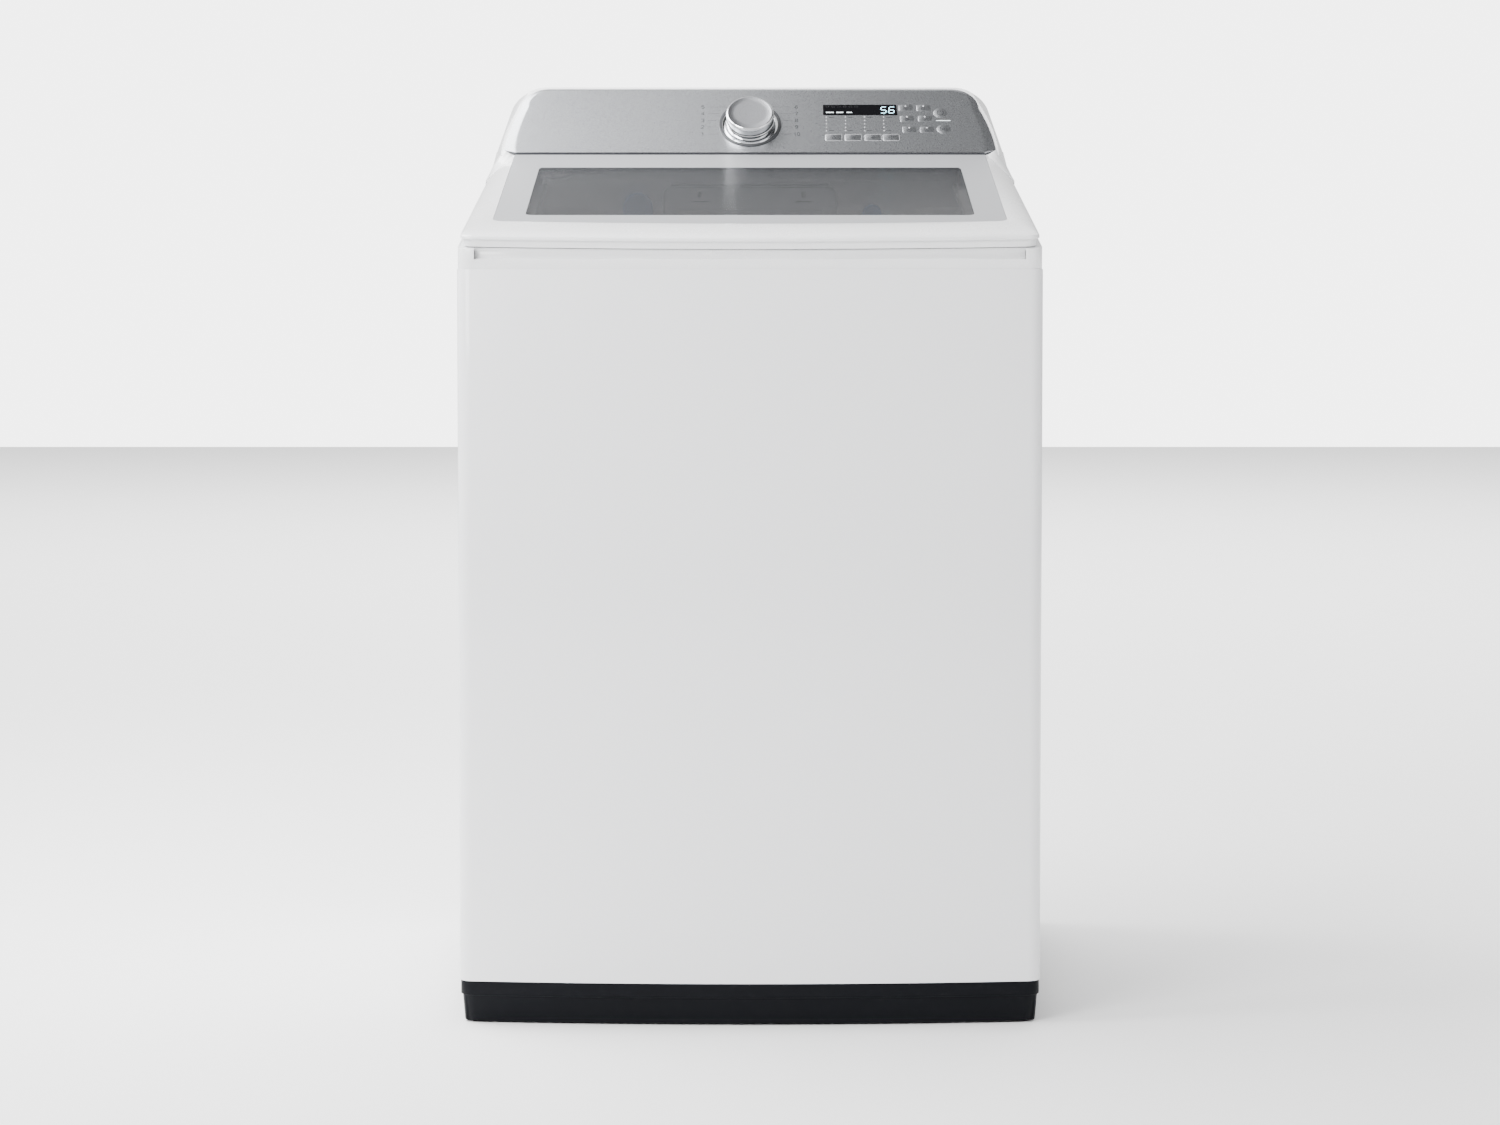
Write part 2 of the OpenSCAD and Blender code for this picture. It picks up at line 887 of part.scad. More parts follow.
module water_jet_nozzle()
  color(jet_blue)
    translate([nozzle_at[0], y_at(wall_d) - 0.2, 0]) {
      translate([0, 0, nozzle_at[1]])
        rotate([90, 0, 0])
          cylinder(r = nozzle_r, h = 12);
      translate([-nozzle_r, -12, 942])
        cube([2 * nozzle_r, 12, nozzle_at[1] - 942]);
      translate([0, 10, nozzle_at[1]])
        rotate([90, 0, 0])
          cylinder(r = nozzle_neck_r - 1, h = 12);
    }

module water_jet_button()
  color(jet_blue)
    translate([jet_button_at[0], y_at(wall_d), jet_button_at[1]])
      rotate([90, 0, 0]) {
        translate([0, 0, 3.5])
          cylinder(r = jet_button_r, h = 6);
        translate([0, 0, -12])
          cylinder(r = jet_stem_r, h = 16);
      }

module outer_tub() {
  top_z = 850;
  wall = 4;
  color(tub_grey)
    on_tub()
      difference() {
        union() {
          rotate_extrude()
            polygon([
              [30, tub_floor_z], [tub_r - 18, tub_floor_z], [tub_r - 4, tub_floor_z + 14],
              [tub_r, top_z], [tub_r - wall, top_z], [tub_r - wall - 4, tub_floor_z + 16],
              [tub_r - 20, tub_floor_z + wall], [30, tub_floor_z + wall]
            ]);
          for (turn = [45:90:315])
            rotate(turn)
              translate([tub_r - 6, -22, ear_z])
                cube([90, 44, tub_ear_t]);
        }
        for (turn = [45:90:315])
          rotate(turn)
            translate([rod_reach * sqrt(2), 0, ear_z - 1])
              cylinder(r = rod_r + 3, h = tub_ear_t + 2);
      }
}

module tub_cover()
  color(tub_grey)
    on_tub()
      rotate_extrude()
        polygon([
          [242, 860], [242, 846], [245, 846], [245, 857], [tub_r, 850], [tub_r + 2, 850],
          [tub_r + 2, 854], [250, 862]
        ]);

module bearing_housing()
  color(zinc)
    on_tub()
      difference() {
        union() {
          cylinder_between(44, 150, tub_floor_z - 6);
          cylinder_between(110, tub_floor_z - 6, tub_floor_z);
        }
        cylinder_between(31, 152, tub_floor_z + 1);
        cylinder_between(25, 140, 160);
      }

// Cylinder on the axis between two heights
module cylinder_between(r, low, high)
  translate([0, 0, low])
    cylinder(r = r, h = high - low);

module bearings()
  color(steel)
    on_tub()
      for (z = [154, 208])
        ring(spin_shaft_r + fit, 31, z, z + 16);

module shaft_seal()
  color(rubber_black)
    on_tub()
      ring(spin_shaft_r + fit, 30, tub_floor_z, tub_floor_z + 9);

module stator()
  color([0.72, 0.4, 0.2])
    on_tub()
      ring(44, 106, 152, 176);

module rotor()
  color(zinc)
    on_tub() {
      ring(wash_shaft_r, rotor_r, 108, 112);
      ring(rotor_r - 5, rotor_r, 108, 178);
    }

module wash_shaft()
  color(steel)
    on_tub() {
      cylinder_between(wash_shaft_r, 98, 292);
      cylinder_between(16, 98, 108);
    }

module spin_shaft()
  color(steel)
    on_tub()
      ring(wash_shaft_r + fit, spin_shaft_r, 116, 262);

// Ring that slides on the spin shaft and drops onto the rotor
module clutch_coupler()
  color(dark_grey)
    on_tub() {
      ring(spin_shaft_r + fit, 30, 112.3, 120);
      ring(spin_shaft_r + fit, 24, 120, 138);
    }

module basket_hub()
  color(zinc)
    on_tub() {
      ring(spin_shaft_r, 120, 249, 261);
      for (turn = [0:60:300])
        rotate(turn)
          translate([110, -12, 253])
            cube([140, 24, 8]);
    }

module basket() {
  wall = 1.5;
  top_z = 840;
  color(steel)
    on_tub()
      rotate_extrude()
        polygon([
          [18, 261], [basket_r - 14, 261], [basket_r, 276], [basket_r, top_z],
          [basket_r - wall, top_z], [basket_r - wall, 277], [basket_r - 15, 261 + wall],
          [18, 261 + wall]
        ]);
}

module balance_ring()
  color(tub_grey)
    on_tub()
      rotate_extrude()
        polygon([
          [240, 806], [basket_r - 1.5, 802], [basket_r - 1.5, 842], [246, 842], [240, 836]
        ]);

// Wash plate with a domed hub and curved vanes
module pulsator() {
  plate_r = 248;
  low = 268;
  color([0.85, 0.87, 0.9])
    on_tub()
      difference() {
        union() {
          rotate_extrude()
            polygon([
              [0, low], [plate_r, low], [plate_r, low + 10], [90, low + 16], [60, low + 34],
              [30, low + 42], [0, low + 43]
            ]);
          for (turn = [0:60:300])
            rotate(turn)
              translate([60, -9, low + 6])
                cube([170, 18, 20]);
        }
        cylinder_between(wash_shaft_r, low - 1, 292);
      }
}

module suspension_rods()
  color(steel)
    at_rods() {
      cylinder_between(rod_r, spring_foot_z - 8, corner_plate_z + 20);
      cylinder_between(20, spring_foot_z - 6, spring_foot_z);
      cylinder_between(14, corner_plate_z + 4, corner_plate_z + 12);
    }

module suspension_springs()
  color(zinc)
    at_rods()
      ring(12, 17, spring_foot_z, ear_z);

module drain_pump() {
  floor_z = base_h;
  chamber_top = 112;
  motor_top = 150;
  suction_z = 84;
  spigot_end = machine_d - 2 - pump_at[1];
  color(dark_grey)
    translate([pump_at[0], y_at(pump_at[1]), 0])
      difference() {
        union() {
          cylinder_between(34, floor_z, chamber_top);
          cylinder_between(26, chamber_top, motor_top);
          translate([-45, -14, floor_z])
            cube([90, 28, 5]);
          translate([0, 20, spigot_z])
            rotate([-90, 0, 0])
              cylinder(r = spigot_r - 1.5, h = spigot_end - 20);
          translate([0, spigot_end - spigot_len, spigot_z])
            rotate([-90, 0, 0])
              cylinder(r = spigot_r, h = spigot_len);
          translate([-60, 0, suction_z])
            rotate([0, 90, 0])
              cylinder(r = 16, h = 40);
        }
        cylinder_between(27, floor_z + 6, chamber_top - 8);
        translate([0, 20, spigot_z])
          rotate([-90, 0, 0])
            cylinder(r = spigot_r - 3, h = 120);
        translate([-62, 0, suction_z])
          rotate([0, 90, 0])
            cylinder(r = 13, h = 50);
        cylinder_between(pump_shaft_r + fit, chamber_top - 12, motor_top - 10);
      }
}

module pump_impeller()
  color("dimgray")
    translate([pump_at[0], y_at(pump_at[1]), 0]) {
      cylinder_between(pump_shaft_r, 68.5, 138);
      cylinder_between(22, 66, 69);
      for (turn = [0:60:300])
        rotate(turn)
          translate([2, -1, 68])
            cube([19, 2, 18]);
    }

// Water valve with hot and cold hose ports
module inlet_valve()
  color([0.9, 0.9, 0.88])
    translate([valve_at[0], y_at(rear_face_d), valve_at[1]]) {
      translate([-60, -32, -20])
        cube([120, 30, 40]);
      translate([-64, 0, -24])
        cube([128, 2, 48]);
      translate([-58, -4, -19])
        cube([116, 5, 38]);
      for (x = [-port_gap / 2, port_gap / 2])
        translate([x, 0, 0])
          rotate([-90, 0, 0])
            difference() {
              cylinder(r = port_r, h = machine_d - rear_face_d - 4);
              translate([0, 0, 6])
                cylinder(r = port_r - 4, h = 60);
            }
    }

module cord_gland()
  color(rubber_black)
    translate([gland_at[0], y_at(rear_face_d), gland_at[1]])
      rotate([-90, 0, 0])
        difference() {
          union() {
            cylinder_between(9, -4, 1);
            cylinder_between(13, 0, 6);
            cylinder_between(13, -6, -rear_sheet_t - 0.3);
          }
          cylinder_between(4.5, -20, 20);
        }

module screws()
  color(steel)
    screw_places() {
      cylinder_between(2, -10, 1);
      cylinder_between(5, 0, 1.9);
    }

cabinet();
rear_panel();
base_frame();
top_cover();
foot_front_left();
foot_front_right();
foot_rear_left();
foot_rear_right();
lid_frame();
lid_inner_frame();
lid_strike();
lid_glass();
hinge_pins();
lid_bumpers();
hinge_brackets();
lid_lock();
lock_bolt();
control_housing();
control_panel();
display_window();
control_board();
knob();
knob_ring();
setting_button_1();
setting_button_2();
setting_button_3();
setting_button_4();
option_button_1();
option_button_2();
option_button_3();
option_button_4();
option_button_5();
option_button_6();
power_button();
start_button();
dispenser_housing();
dispenser_drawer();
water_jet_nozzle();
water_jet_button();
outer_tub();
tub_cover();
bearing_housing();
bearings();
shaft_seal();
stator();
basket();
basket_hub();
balance_ring();
spin_shaft();
pulsator();
wash_shaft();
rotor();
clutch_coupler();
suspension_rods();
suspension_springs();
drain_pump();
pump_impeller();
inlet_valve();
cord_gland();
screws();
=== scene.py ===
import json
import math
import bmesh
import bpy
from mathutils import Matrix, Vector


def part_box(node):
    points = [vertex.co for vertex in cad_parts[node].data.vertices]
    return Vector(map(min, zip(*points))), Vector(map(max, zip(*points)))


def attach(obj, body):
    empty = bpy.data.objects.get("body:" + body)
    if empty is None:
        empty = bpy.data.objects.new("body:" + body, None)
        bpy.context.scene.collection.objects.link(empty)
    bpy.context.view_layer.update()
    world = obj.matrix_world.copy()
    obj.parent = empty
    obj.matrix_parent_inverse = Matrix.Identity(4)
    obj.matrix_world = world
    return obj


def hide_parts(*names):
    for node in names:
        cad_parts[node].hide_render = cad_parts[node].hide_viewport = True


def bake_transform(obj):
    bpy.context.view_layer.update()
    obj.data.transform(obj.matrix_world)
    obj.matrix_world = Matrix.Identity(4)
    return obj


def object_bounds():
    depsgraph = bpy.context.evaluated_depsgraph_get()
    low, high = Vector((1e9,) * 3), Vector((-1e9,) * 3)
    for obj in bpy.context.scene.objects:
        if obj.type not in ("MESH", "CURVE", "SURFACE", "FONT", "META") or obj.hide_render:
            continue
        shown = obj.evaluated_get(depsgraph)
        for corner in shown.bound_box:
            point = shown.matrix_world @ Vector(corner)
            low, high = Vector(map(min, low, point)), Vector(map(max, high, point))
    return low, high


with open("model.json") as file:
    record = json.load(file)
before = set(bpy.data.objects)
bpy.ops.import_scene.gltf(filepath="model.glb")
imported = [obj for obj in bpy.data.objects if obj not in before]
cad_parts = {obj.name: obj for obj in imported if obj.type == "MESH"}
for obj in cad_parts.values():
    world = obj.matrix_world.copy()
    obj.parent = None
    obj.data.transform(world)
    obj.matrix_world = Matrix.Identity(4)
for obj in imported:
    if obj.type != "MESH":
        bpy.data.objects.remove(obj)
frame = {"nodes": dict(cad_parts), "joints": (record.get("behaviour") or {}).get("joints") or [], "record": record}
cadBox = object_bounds()
record = frame["record"]
joints = {joint["name"]: joint for joint in frame["joints"]}
bodyOf = {node: body for body, nodes in record["behaviour"]["bodies"].items() for node in nodes}
slotOf = {row["node"]: row["material_slot"] for row in record["subparts"]}
mm = 0.001
frontY = cadBox[0].y
panelNormal = Vector(joints["knob_turn"]["axis"])
panelUp = panelNormal.cross(Vector((1, 0, 0)))
panelTilt = math.atan2(-panelNormal.y, panelNormal.z)
knobFoot = Vector(joints["knob_turn"]["pos_m"])
knobUp = 55.0
bowRadius = 2951.0
print("frame loaded:", len(frame["nodes"]), "CAD nodes")


# mesh helpers

def link(obj):
    bpy.context.scene.collection.objects.link(obj)
    return obj


def finishMesh(mesh, name, material, smoothAngle=35):
    mesh.materials.clear()
    mesh.materials.append(material)
    mesh.polygons.foreach_set("use_smooth", [True] * len(mesh.polygons))
    mesh.set_sharp_from_angle(angle=math.radians(smoothAngle))
    return link(bpy.data.objects.new(name, mesh))


def meshFrom(name, points, faces, material, smoothAngle=35):
    mesh = bpy.data.meshes.new(name)
    mesh.from_pydata([tuple(p) for p in points], [], faces)
    work = bmesh.new()
    work.from_mesh(mesh)
    bmesh.ops.remove_doubles(work, verts=work.verts, dist=1e-6)
    bmesh.ops.recalc_face_normals(work, faces=work.faces)
    work.to_mesh(mesh)
    work.free()
    return finishMesh(mesh, name, material, smoothAngle)


def stackRings(rings, around=True, backToStart=False):
    count = len(rings[0])
    points = [p for ring in rings for p in ring]
    faces = []
    rows = len(rings) if backToStart else len(rings) - 1
    for row in range(rows):
        below = row * count
        above = (row + 1) % len(rings) * count
        for i in range(count if around else count - 1):
            j = (i + 1) % count
            faces.append((below + i, below + j, above + j, above + i))
    return points, faces


def cappedRings(rings):  # a closed tube through the rings with a face over each end
    points, faces = stackRings(rings)
    count = len(rings[0])
    return points, faces + [tuple(range(count)), tuple(range(len(points) - count, len(points)))]


def turnsOf(steps):  # equal turns round a full circle
    return [2 * math.pi * i / steps for i in range(steps)]


def bevelled(obj, width, segments=2, angle=30):
    bevel = obj.modifiers.new("edges", "BEVEL")
    bevel.width = width
    bevel.segments = segments
    bevel.limit_method = "ANGLE"
    bevel.angle_limit = math.radians(angle)
    bevel.use_clamp_overlap = True
    bevel.harden_normals = False
    return obj


def settled(obj, material=None, smoothAngle=35):
    depsgraph = bpy.context.evaluated_depsgraph_get()
    mesh = bpy.data.meshes.new_from_object(obj.evaluated_get(depsgraph))
    name = obj.name
    if material is None:
        material = obj.data.materials[0]
    bpy.data.objects.remove(obj)
    made = finishMesh(mesh, name, material, smoothAngle)
    made.name = name
    return made


def at(x, depth, z):  # millimetres across, behind the front panel and above the floor
    return Vector((x * mm, frontY + depth * mm, z * mm))


def onPanel(x, up, out=0.0):  # millimetres across, up the control panel's slope and out of its face
    return knobFoot + Vector((x * mm, 0, 0)) + panelUp * (up - knobUp) * mm + panelNormal * out * mm


def bowDepth(x):
    return bowRadius - math.sqrt(bowRadius ** 2 - x ** 2)


def mirrored(right):  # a half outline that starts and ends on the centre line, closed on the other side
    return right + [(-x, *rest) for x, *rest in reversed(right[1:-1])]


def standsFor(obj, *nodes):
    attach(obj, bodyOf[nodes[0]])
    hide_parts(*nodes)
    return obj


def ridesWith(obj, node):
    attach(obj, bodyOf[node])
    return obj


# shared shader effects

def newGroup(name, inputs, outputs):
    group = bpy.data.node_groups.new(name, "ShaderNodeTree")
    for title, kind, value in inputs:
        socket = group.interface.new_socket(title, in_out="INPUT", socket_type=kind)
        if value is not None:
            socket.default_value = value
    for title, kind in outputs:
        group.interface.new_socket(title, in_out="OUTPUT", socket_type=kind)
    return group, group.nodes.new("NodeGroupInput"), group.nodes.new("NodeGroupOutput")


def addNode(tree, kind, **values):
    node = tree.nodes.new(kind)
    for key, value in values.items():
        setattr(node, key, value)
    return node


def mathNode(tree, operation, first, second=None, clamp=False):
    node = addNode(tree, "ShaderNodeMath", operation=operation, use_clamp=clamp)
    for i, value in enumerate([first, second]):
        if value is None:
            continue
        if isinstance(value, (int, float)):
            node.inputs[i].default_value = value
        else:
            tree.links.new(value, node.inputs[i])
    return node.outputs[0]


def makeMottle():  # slow cloudiness plus fine grain, centred on zero
    group, start, end = newGroup(
        "mottle",
        [("Position", "NodeSocketVector", None), ("Clouds", "NodeSocketFloat", 6.0),
         ("Grain", "NodeSocketFloat", 400.0), ("Balance", "NodeSocketFloat", 0.5)],
        [("Tone", "NodeSocketFloat"), ("Height", "NodeSocketFloat")])
    clouds = addNode(group, "ShaderNodeTexNoise")
    grain = addNode(group, "ShaderNodeTexNoise")
    clouds.inputs["Detail"].default_value = 3
    grain.inputs["Detail"].default_value = 2
    for noise, size in ((clouds, "Clouds"), (grain, "Grain")):
        group.links.new(start.outputs["Position"], noise.inputs["Vector"])
        group.links.new(start.outputs[size], noise.inputs["Scale"])
    slow = mathNode(group, "SUBTRACT", clouds.outputs["Fac"], 0.5)
    fast = mathNode(group, "SUBTRACT", grain.outputs["Fac"], 0.5)
    share = mathNode(group, "MULTIPLY", fast, start.outputs["Balance"])
    group.links.new(mathNode(group, "ADD", slow, share), end.inputs["Tone"])
    group.links.new(grain.outputs["Fac"], end.inputs["Height"])
    return group


def makeBrushed():  # long thin scratches along the axis with the smallest stretch
    group, start, end = newGroup(
        "brushedLines",
        [("Position", "NodeSocketVector", None), ("Stretch", "NodeSocketVector", (1.0, 40.0, 40.0)),
         ("Lines", "NodeSocketFloat", 60.0)],
        [("Tone", "NodeSocketFloat"), ("Height", "NodeSocketFloat")])
    scale = addNode(group, "ShaderNodeVectorMath", operation="MULTIPLY")
    noise = addNode(group, "ShaderNodeTexNoise")
    noise.inputs["Detail"].default_value = 4
    group.links.new(start.outputs["Position"], scale.inputs[0])
    group.links.new(start.outputs["Stretch"], scale.inputs[1])
    group.links.new(scale.outputs[0], noise.inputs["Vector"])
    group.links.new(start.outputs["Lines"], noise.inputs["Scale"])
    group.links.new(mathNode(group, "SUBTRACT", noise.outputs["Fac"], 0.5), end.inputs["Tone"])
    group.links.new(noise.outputs["Fac"], end.inputs["Height"])
    return group


def makeSpun():  # fine turned rings round the Z axis of the position it is given
    group, start, end = newGroup(
        "turnedRings",
        [("Position", "NodeSocketVector", None), ("Rings", "NodeSocketFloat", 2500.0)],
        [("Tone", "NodeSocketFloat"), ("Height", "NodeSocketFloat")])
    split = addNode(group, "ShaderNodeSeparateXYZ")
    group.links.new(start.outputs["Position"], split.inputs[0])
    across = mathNode(group, "MULTIPLY", split.outputs["X"], split.outputs["X"])
    upward = mathNode(group, "MULTIPLY", split.outputs["Y"], split.outputs["Y"])
    radius = mathNode(group, "SQRT", mathNode(group, "ADD", across, upward))
    noise = addNode(group, "ShaderNodeTexNoise", noise_dimensions="1D")
    noise.inputs["Detail"].default_value = 3
    group.links.new(radius, noise.inputs["W"])
    group.links.new(start.outputs["Rings"], noise.inputs["Scale"])
    group.links.new(mathNode(group, "SUBTRACT", noise.outputs["Fac"], 0.5), end.inputs["Tone"])
    group.links.new(noise.outputs["Fac"], end.inputs["Height"])
    return group


def makeFlake():  # metal flake in lacquer, or the spangle of a zinc coat at a large size
    group, start, end = newGroup(
        "flakes",
        [("Position", "NodeSocketVector", None), ("Flakes", "NodeSocketFloat", 2600.0)],
        [("Tone", "NodeSocketFloat")])
    cells = addNode(group, "ShaderNodeTexVoronoi")
    group.links.new(start.outputs["Position"], cells.inputs["Vector"])
    group.links.new(start.outputs["Flakes"], cells.inputs["Scale"])
    split = addNode(group, "ShaderNodeSeparateColor")
    group.links.new(cells.outputs["Color"], split.inputs[0])
    group.links.new(mathNode(group, "SUBTRACT", split.outputs[0], 0.5), end.inputs["Tone"])
    return group


def makeDust():  # faint settling on faces that look up
    group, start, end = newGroup(
        "settledDust",
        [("Position", "NodeSocketVector", None), ("Patches", "NodeSocketFloat", 9.0)],
        [("Mask", "NodeSocketFloat")])
    geometry = addNode(group, "ShaderNodeNewGeometry")
    split = addNode(group, "ShaderNodeSeparateXYZ")
    group.links.new(geometry.outputs["Normal"], split.inputs[0])
    facing = mathNode(group, "MULTIPLY", split.outputs["Z"], 1.0, clamp=True)
    noise = addNode(group, "ShaderNodeTexNoise")
    noise.inputs["Detail"].default_value = 6
    group.links.new(start.outputs["Position"], noise.inputs["Vector"])
    group.links.new(start.outputs["Patches"], noise.inputs["Scale"])
    group.links.new(mathNode(group, "MULTIPLY", facing, noise.outputs["Fac"]), end.inputs["Mask"])
    return group


mottle = makeMottle()
brushedLines = makeBrushed()
turnedRings = makeSpun()
flakes = makeFlake()
settledDust = makeDust()


# materials

def startMaterial(name, metallic=0.0, constants=None):
    material = bpy.data.materials.new(name)
    material.use_nodes = True
    tree = material.node_tree
    shader = tree.nodes["Principled BSDF"]
    shader.inputs["Metallic"].default_value = metallic
    for socket, value in (constants or {}).items():
        shader.inputs[socket].default_value = value
    place = addNode(tree, "ShaderNodeTexCoord")
    return material, tree, shader, place.outputs["Object"]


def useGroup(tree, group, position, **values):
    node = addNode(tree, "ShaderNodeGroup", node_tree=group)
    tree.links.new(position, node.inputs["Position"])
    for title, value in values.items():
        node.inputs[title].default_value = value
    return node


def tinted(tree, color, tone, amount):  # the colour made lighter and darker by a tone round zero
    factor = mathNode(tree, "MULTIPLY_ADD", tone, amount)
    factor.node.inputs[2].default_value = 1.0
    scale = addNode(tree, "ShaderNodeVectorMath", operation="SCALE")
    scale.inputs[0].default_value = color[:3]
    tree.links.new(factor, scale.inputs["Scale"])
    return scale.outputs[0]


def shifted(tree, base, tone, amount):
    value = mathNode(tree, "MULTIPLY_ADD", tone, amount)
    value.node.inputs[2].default_value = base
    value.node.use_clamp = True
    return value


def bumpFrom(tree, height, strength, distance):
    bump = addNode(tree, "ShaderNodeBump")
    bump.inputs["Strength"].default_value = strength
    bump.inputs["Distance"].default_value = distance
    tree.links.new(height, bump.inputs["Height"])
    return bump.outputs["Normal"]


def plainFinish(name, color, roughness, metallic=0.0, tone=0.06, gloss=0.08, clouds=6.0, grain=400.0,
                bump=0.1, bumpDepth=0.00005, dust=0.0, constants=None):
    material, tree, shader, position = startMaterial(name, metallic, constants)
    cloud = useGroup(tree, mottle, position, Clouds=clouds, Grain=grain)
    surface = tinted(tree, color, cloud.outputs["Tone"], tone)
    if dust:
        film = useGroup(tree, settledDust, position)
        mix = addNode(tree, "ShaderNodeMix", data_type="RGBA")
        tree.links.new(mathNode(tree, "MULTIPLY", film.outputs["Mask"], dust), mix.inputs[0])
        tree.links.new(surface, mix.inputs[6])
        mix.inputs[7].default_value = (0.5, 0.49, 0.47, 1)
        surface = mix.outputs[2]
    tree.links.new(surface, shader.inputs["Base Color"])
    tree.links.new(shifted(tree, roughness, cloud.outputs["Tone"], gloss), shader.inputs["Roughness"])
    tree.links.new(bumpFrom(tree, cloud.outputs["Height"], bump, bumpDepth), shader.inputs["Normal"])
    return material


def flakedFinish(name, color, roughness, metallic, size, tone, constants=None):
    material, tree, shader, position = startMaterial(name, metallic, constants)
    cells = useGroup(tree, flakes, position, Flakes=size)
    cloud = useGroup(tree, mottle, position, Clouds=5.0, Grain=900.0)
    both = mathNode(tree, "ADD", mathNode(tree, "MULTIPLY", cells.outputs["Tone"], tone),
                    mathNode(tree, "MULTIPLY", cloud.outputs["Tone"], 0.05))
    surface = tinted(tree, color, both, 1.0)
    tree.links.new(surface, shader.inputs["Base Color"])
    tree.links.new(shifted(tree, roughness, cells.outputs["Tone"], 0.1), shader.inputs["Roughness"])
    tree.links.new(bumpFrom(tree, cells.outputs["Tone"], 0.04, 0.00005), shader.inputs["Normal"])
    return material


def brushedFinish(name, color, roughness, stretch, lines=60.0, tone=0.25, metallic=1.0, bump=0.12,
                  constants=None):
    material, tree, shader, position = startMaterial(name, metallic, constants)
    brush = useGroup(tree, brushedLines, position, Lines=lines, Stretch=stretch)
    tree.links.new(tinted(tree, color, brush.outputs["Tone"], tone), shader.inputs["Base Color"])
    tree.links.new(shifted(tree, roughness, brush.outputs["Tone"], 0.25), shader.inputs["Roughness"])
    tree.links.new(bumpFrom(tree, brush.outputs["Height"], bump, 0.00005), shader.inputs["Normal"])
    return material


def turnedFinish(name, color, roughness, centre, tilt, rings=2500.0, tone=0.3):
    material, tree, shader, position = startMaterial(name, 1.0)
    mapping = addNode(tree, "ShaderNodeMapping", vector_type="TEXTURE")
    mapping.inputs["Location"].default_value = centre
    mapping.inputs["Rotation"].default_value = (tilt, 0, 0)
    tree.links.new(position, mapping.inputs["Vector"])
    spin = useGroup(tree, turnedRings, mapping.outputs[0], Rings=rings)
    tree.links.new(tinted(tree, color, spin.outputs["Tone"], tone), shader.inputs["Base Color"])
    tree.links.new(shifted(tree, roughness, spin.outputs["Tone"], 0.2), shader.inputs["Roughness"])
    tree.links.new(bumpFrom(tree, spin.outputs["Height"], 0.25, 0.00004), shader.inputs["Normal"])
    return material


glossCoat = {"Coat Weight": 0.6, "Coat Roughness": 0.06}

whiteEnamel = plainFinish("whiteEnamel", (0.82, 0.825, 0.84), 0.3, tone=0.02, gloss=0.05, clouds=3.0,
                          grain=180.0, bump=0.05, bumpDepth=0.0001, dust=0.03, constants=glossCoat)
whitePlastic = plainFinish("whitePlastic", (0.83, 0.835, 0.845), 0.27, tone=0.02, gloss=0.06, clouds=8.0,
                           grain=700.0, bump=0.06, bumpDepth=0.00004, dust=0.03, constants=glossCoat)
drawerPlastic = plainFinish("drawerPlastic", (0.6, 0.62, 0.65), 0.32, tone=0.04, clouds=12.0, grain=900.0)
basePlastic = plainFinish("basePlastic", (0.0035, 0.004, 0.0055), 0.5, tone=0.25, gloss=0.15, clouds=14.0,
                          grain=1500.0, bump=0.2, dust=0.002, constants={"Specular IOR Level": 0.08})
darkPlastic = plainFinish("darkPlastic", (0.04, 0.042, 0.046), 0.45, tone=0.2, grain=1800.0, bump=0.2)
footRubber = plainFinish("footRubber", (0.02, 0.02, 0.021), 0.75, tone=0.3, grain=1200.0, bump=0.4, dust=0.1)
tubPlastic = plainFinish("tubPlastic", (0.55, 0.56, 0.58), 0.45, tone=0.08, grain=900.0, bump=0.2)
pulsatorPlastic = plainFinish("pulsatorPlastic", (0.66, 0.69, 0.73), 0.3, tone=0.04, clouds=9.0, grain=800.0)
circuitBoard = plainFinish("circuitBoard", (0.02, 0.13, 0.06), 0.35, tone=0.3, clouds=60.0, grain=600.0)
inkDark = plainFinish("inkDark", (0.012, 0.013, 0.016), 0.55, tone=0.1, grain=3000.0)
inkLight = plainFinish("inkLight", (0.62, 0.63, 0.65), 0.5, tone=0.1, grain=3000.0)
panelSilver = flakedFinish("panelSilver", (0.4, 0.41, 0.43), 0.3, 0.9, 2600.0, 0.2)
buttonSilver = flakedFinish("buttonSilver", (0.4, 0.41, 0.43), 0.3, 0.9, 2600.0, 0.2)
zincSheet = flakedFinish("zincSheet", (0.55, 0.56, 0.57), 0.4, 0.9, 120.0, 0.18)
castAlloy = plainFinish("castAlloy", (0.5, 0.51, 0.53), 0.5, metallic=0.9, tone=0.2, grain=900.0, bump=0.5)
shaftSteel = brushedFinish("shaftSteel", (0.6, 0.61, 0.63), 0.28, (40.0, 40.0, 1.0))
springSteel = brushedFinish("springSteel", (0.5, 0.51, 0.53), 0.35, (30.0, 30.0, 30.0))
drumSteel = brushedFinish("drumSteel", (0.72, 0.73, 0.75), 0.2, (20.0, 20.0, 1.0), lines=30.0, tone=0.12,
                          bump=0.06)
copperWire = brushedFinish("copperWire", (0.68, 0.3, 0.13), 0.35, (1.0, 1.0, 60.0), lines=30.0)
knobFace = turnedFinish("knobFace", (0.56, 0.57, 0.6), 0.3, knobFoot, panelTilt)
knobBright = turnedFinish("knobBright", (0.82, 0.83, 0.85), 0.1, knobFoot, panelTilt, rings=900.0, tone=0.1)
borderGrey = plainFinish("borderGrey", (0.27, 0.275, 0.287), 0.42, tone=0.04, gloss=0.05, clouds=7.0,
                         grain=1600.0, bump=0.05, constants={"Coat Weight": 0.15, "Coat Roughness": 0.35})
displayBlack = plainFinish("displayBlack", (0.004, 0.004, 0.005), 0.22, tone=0.3, gloss=0.05, grain=2500.0,
                           bump=0.02, constants={"Specular IOR Level": 0.12})


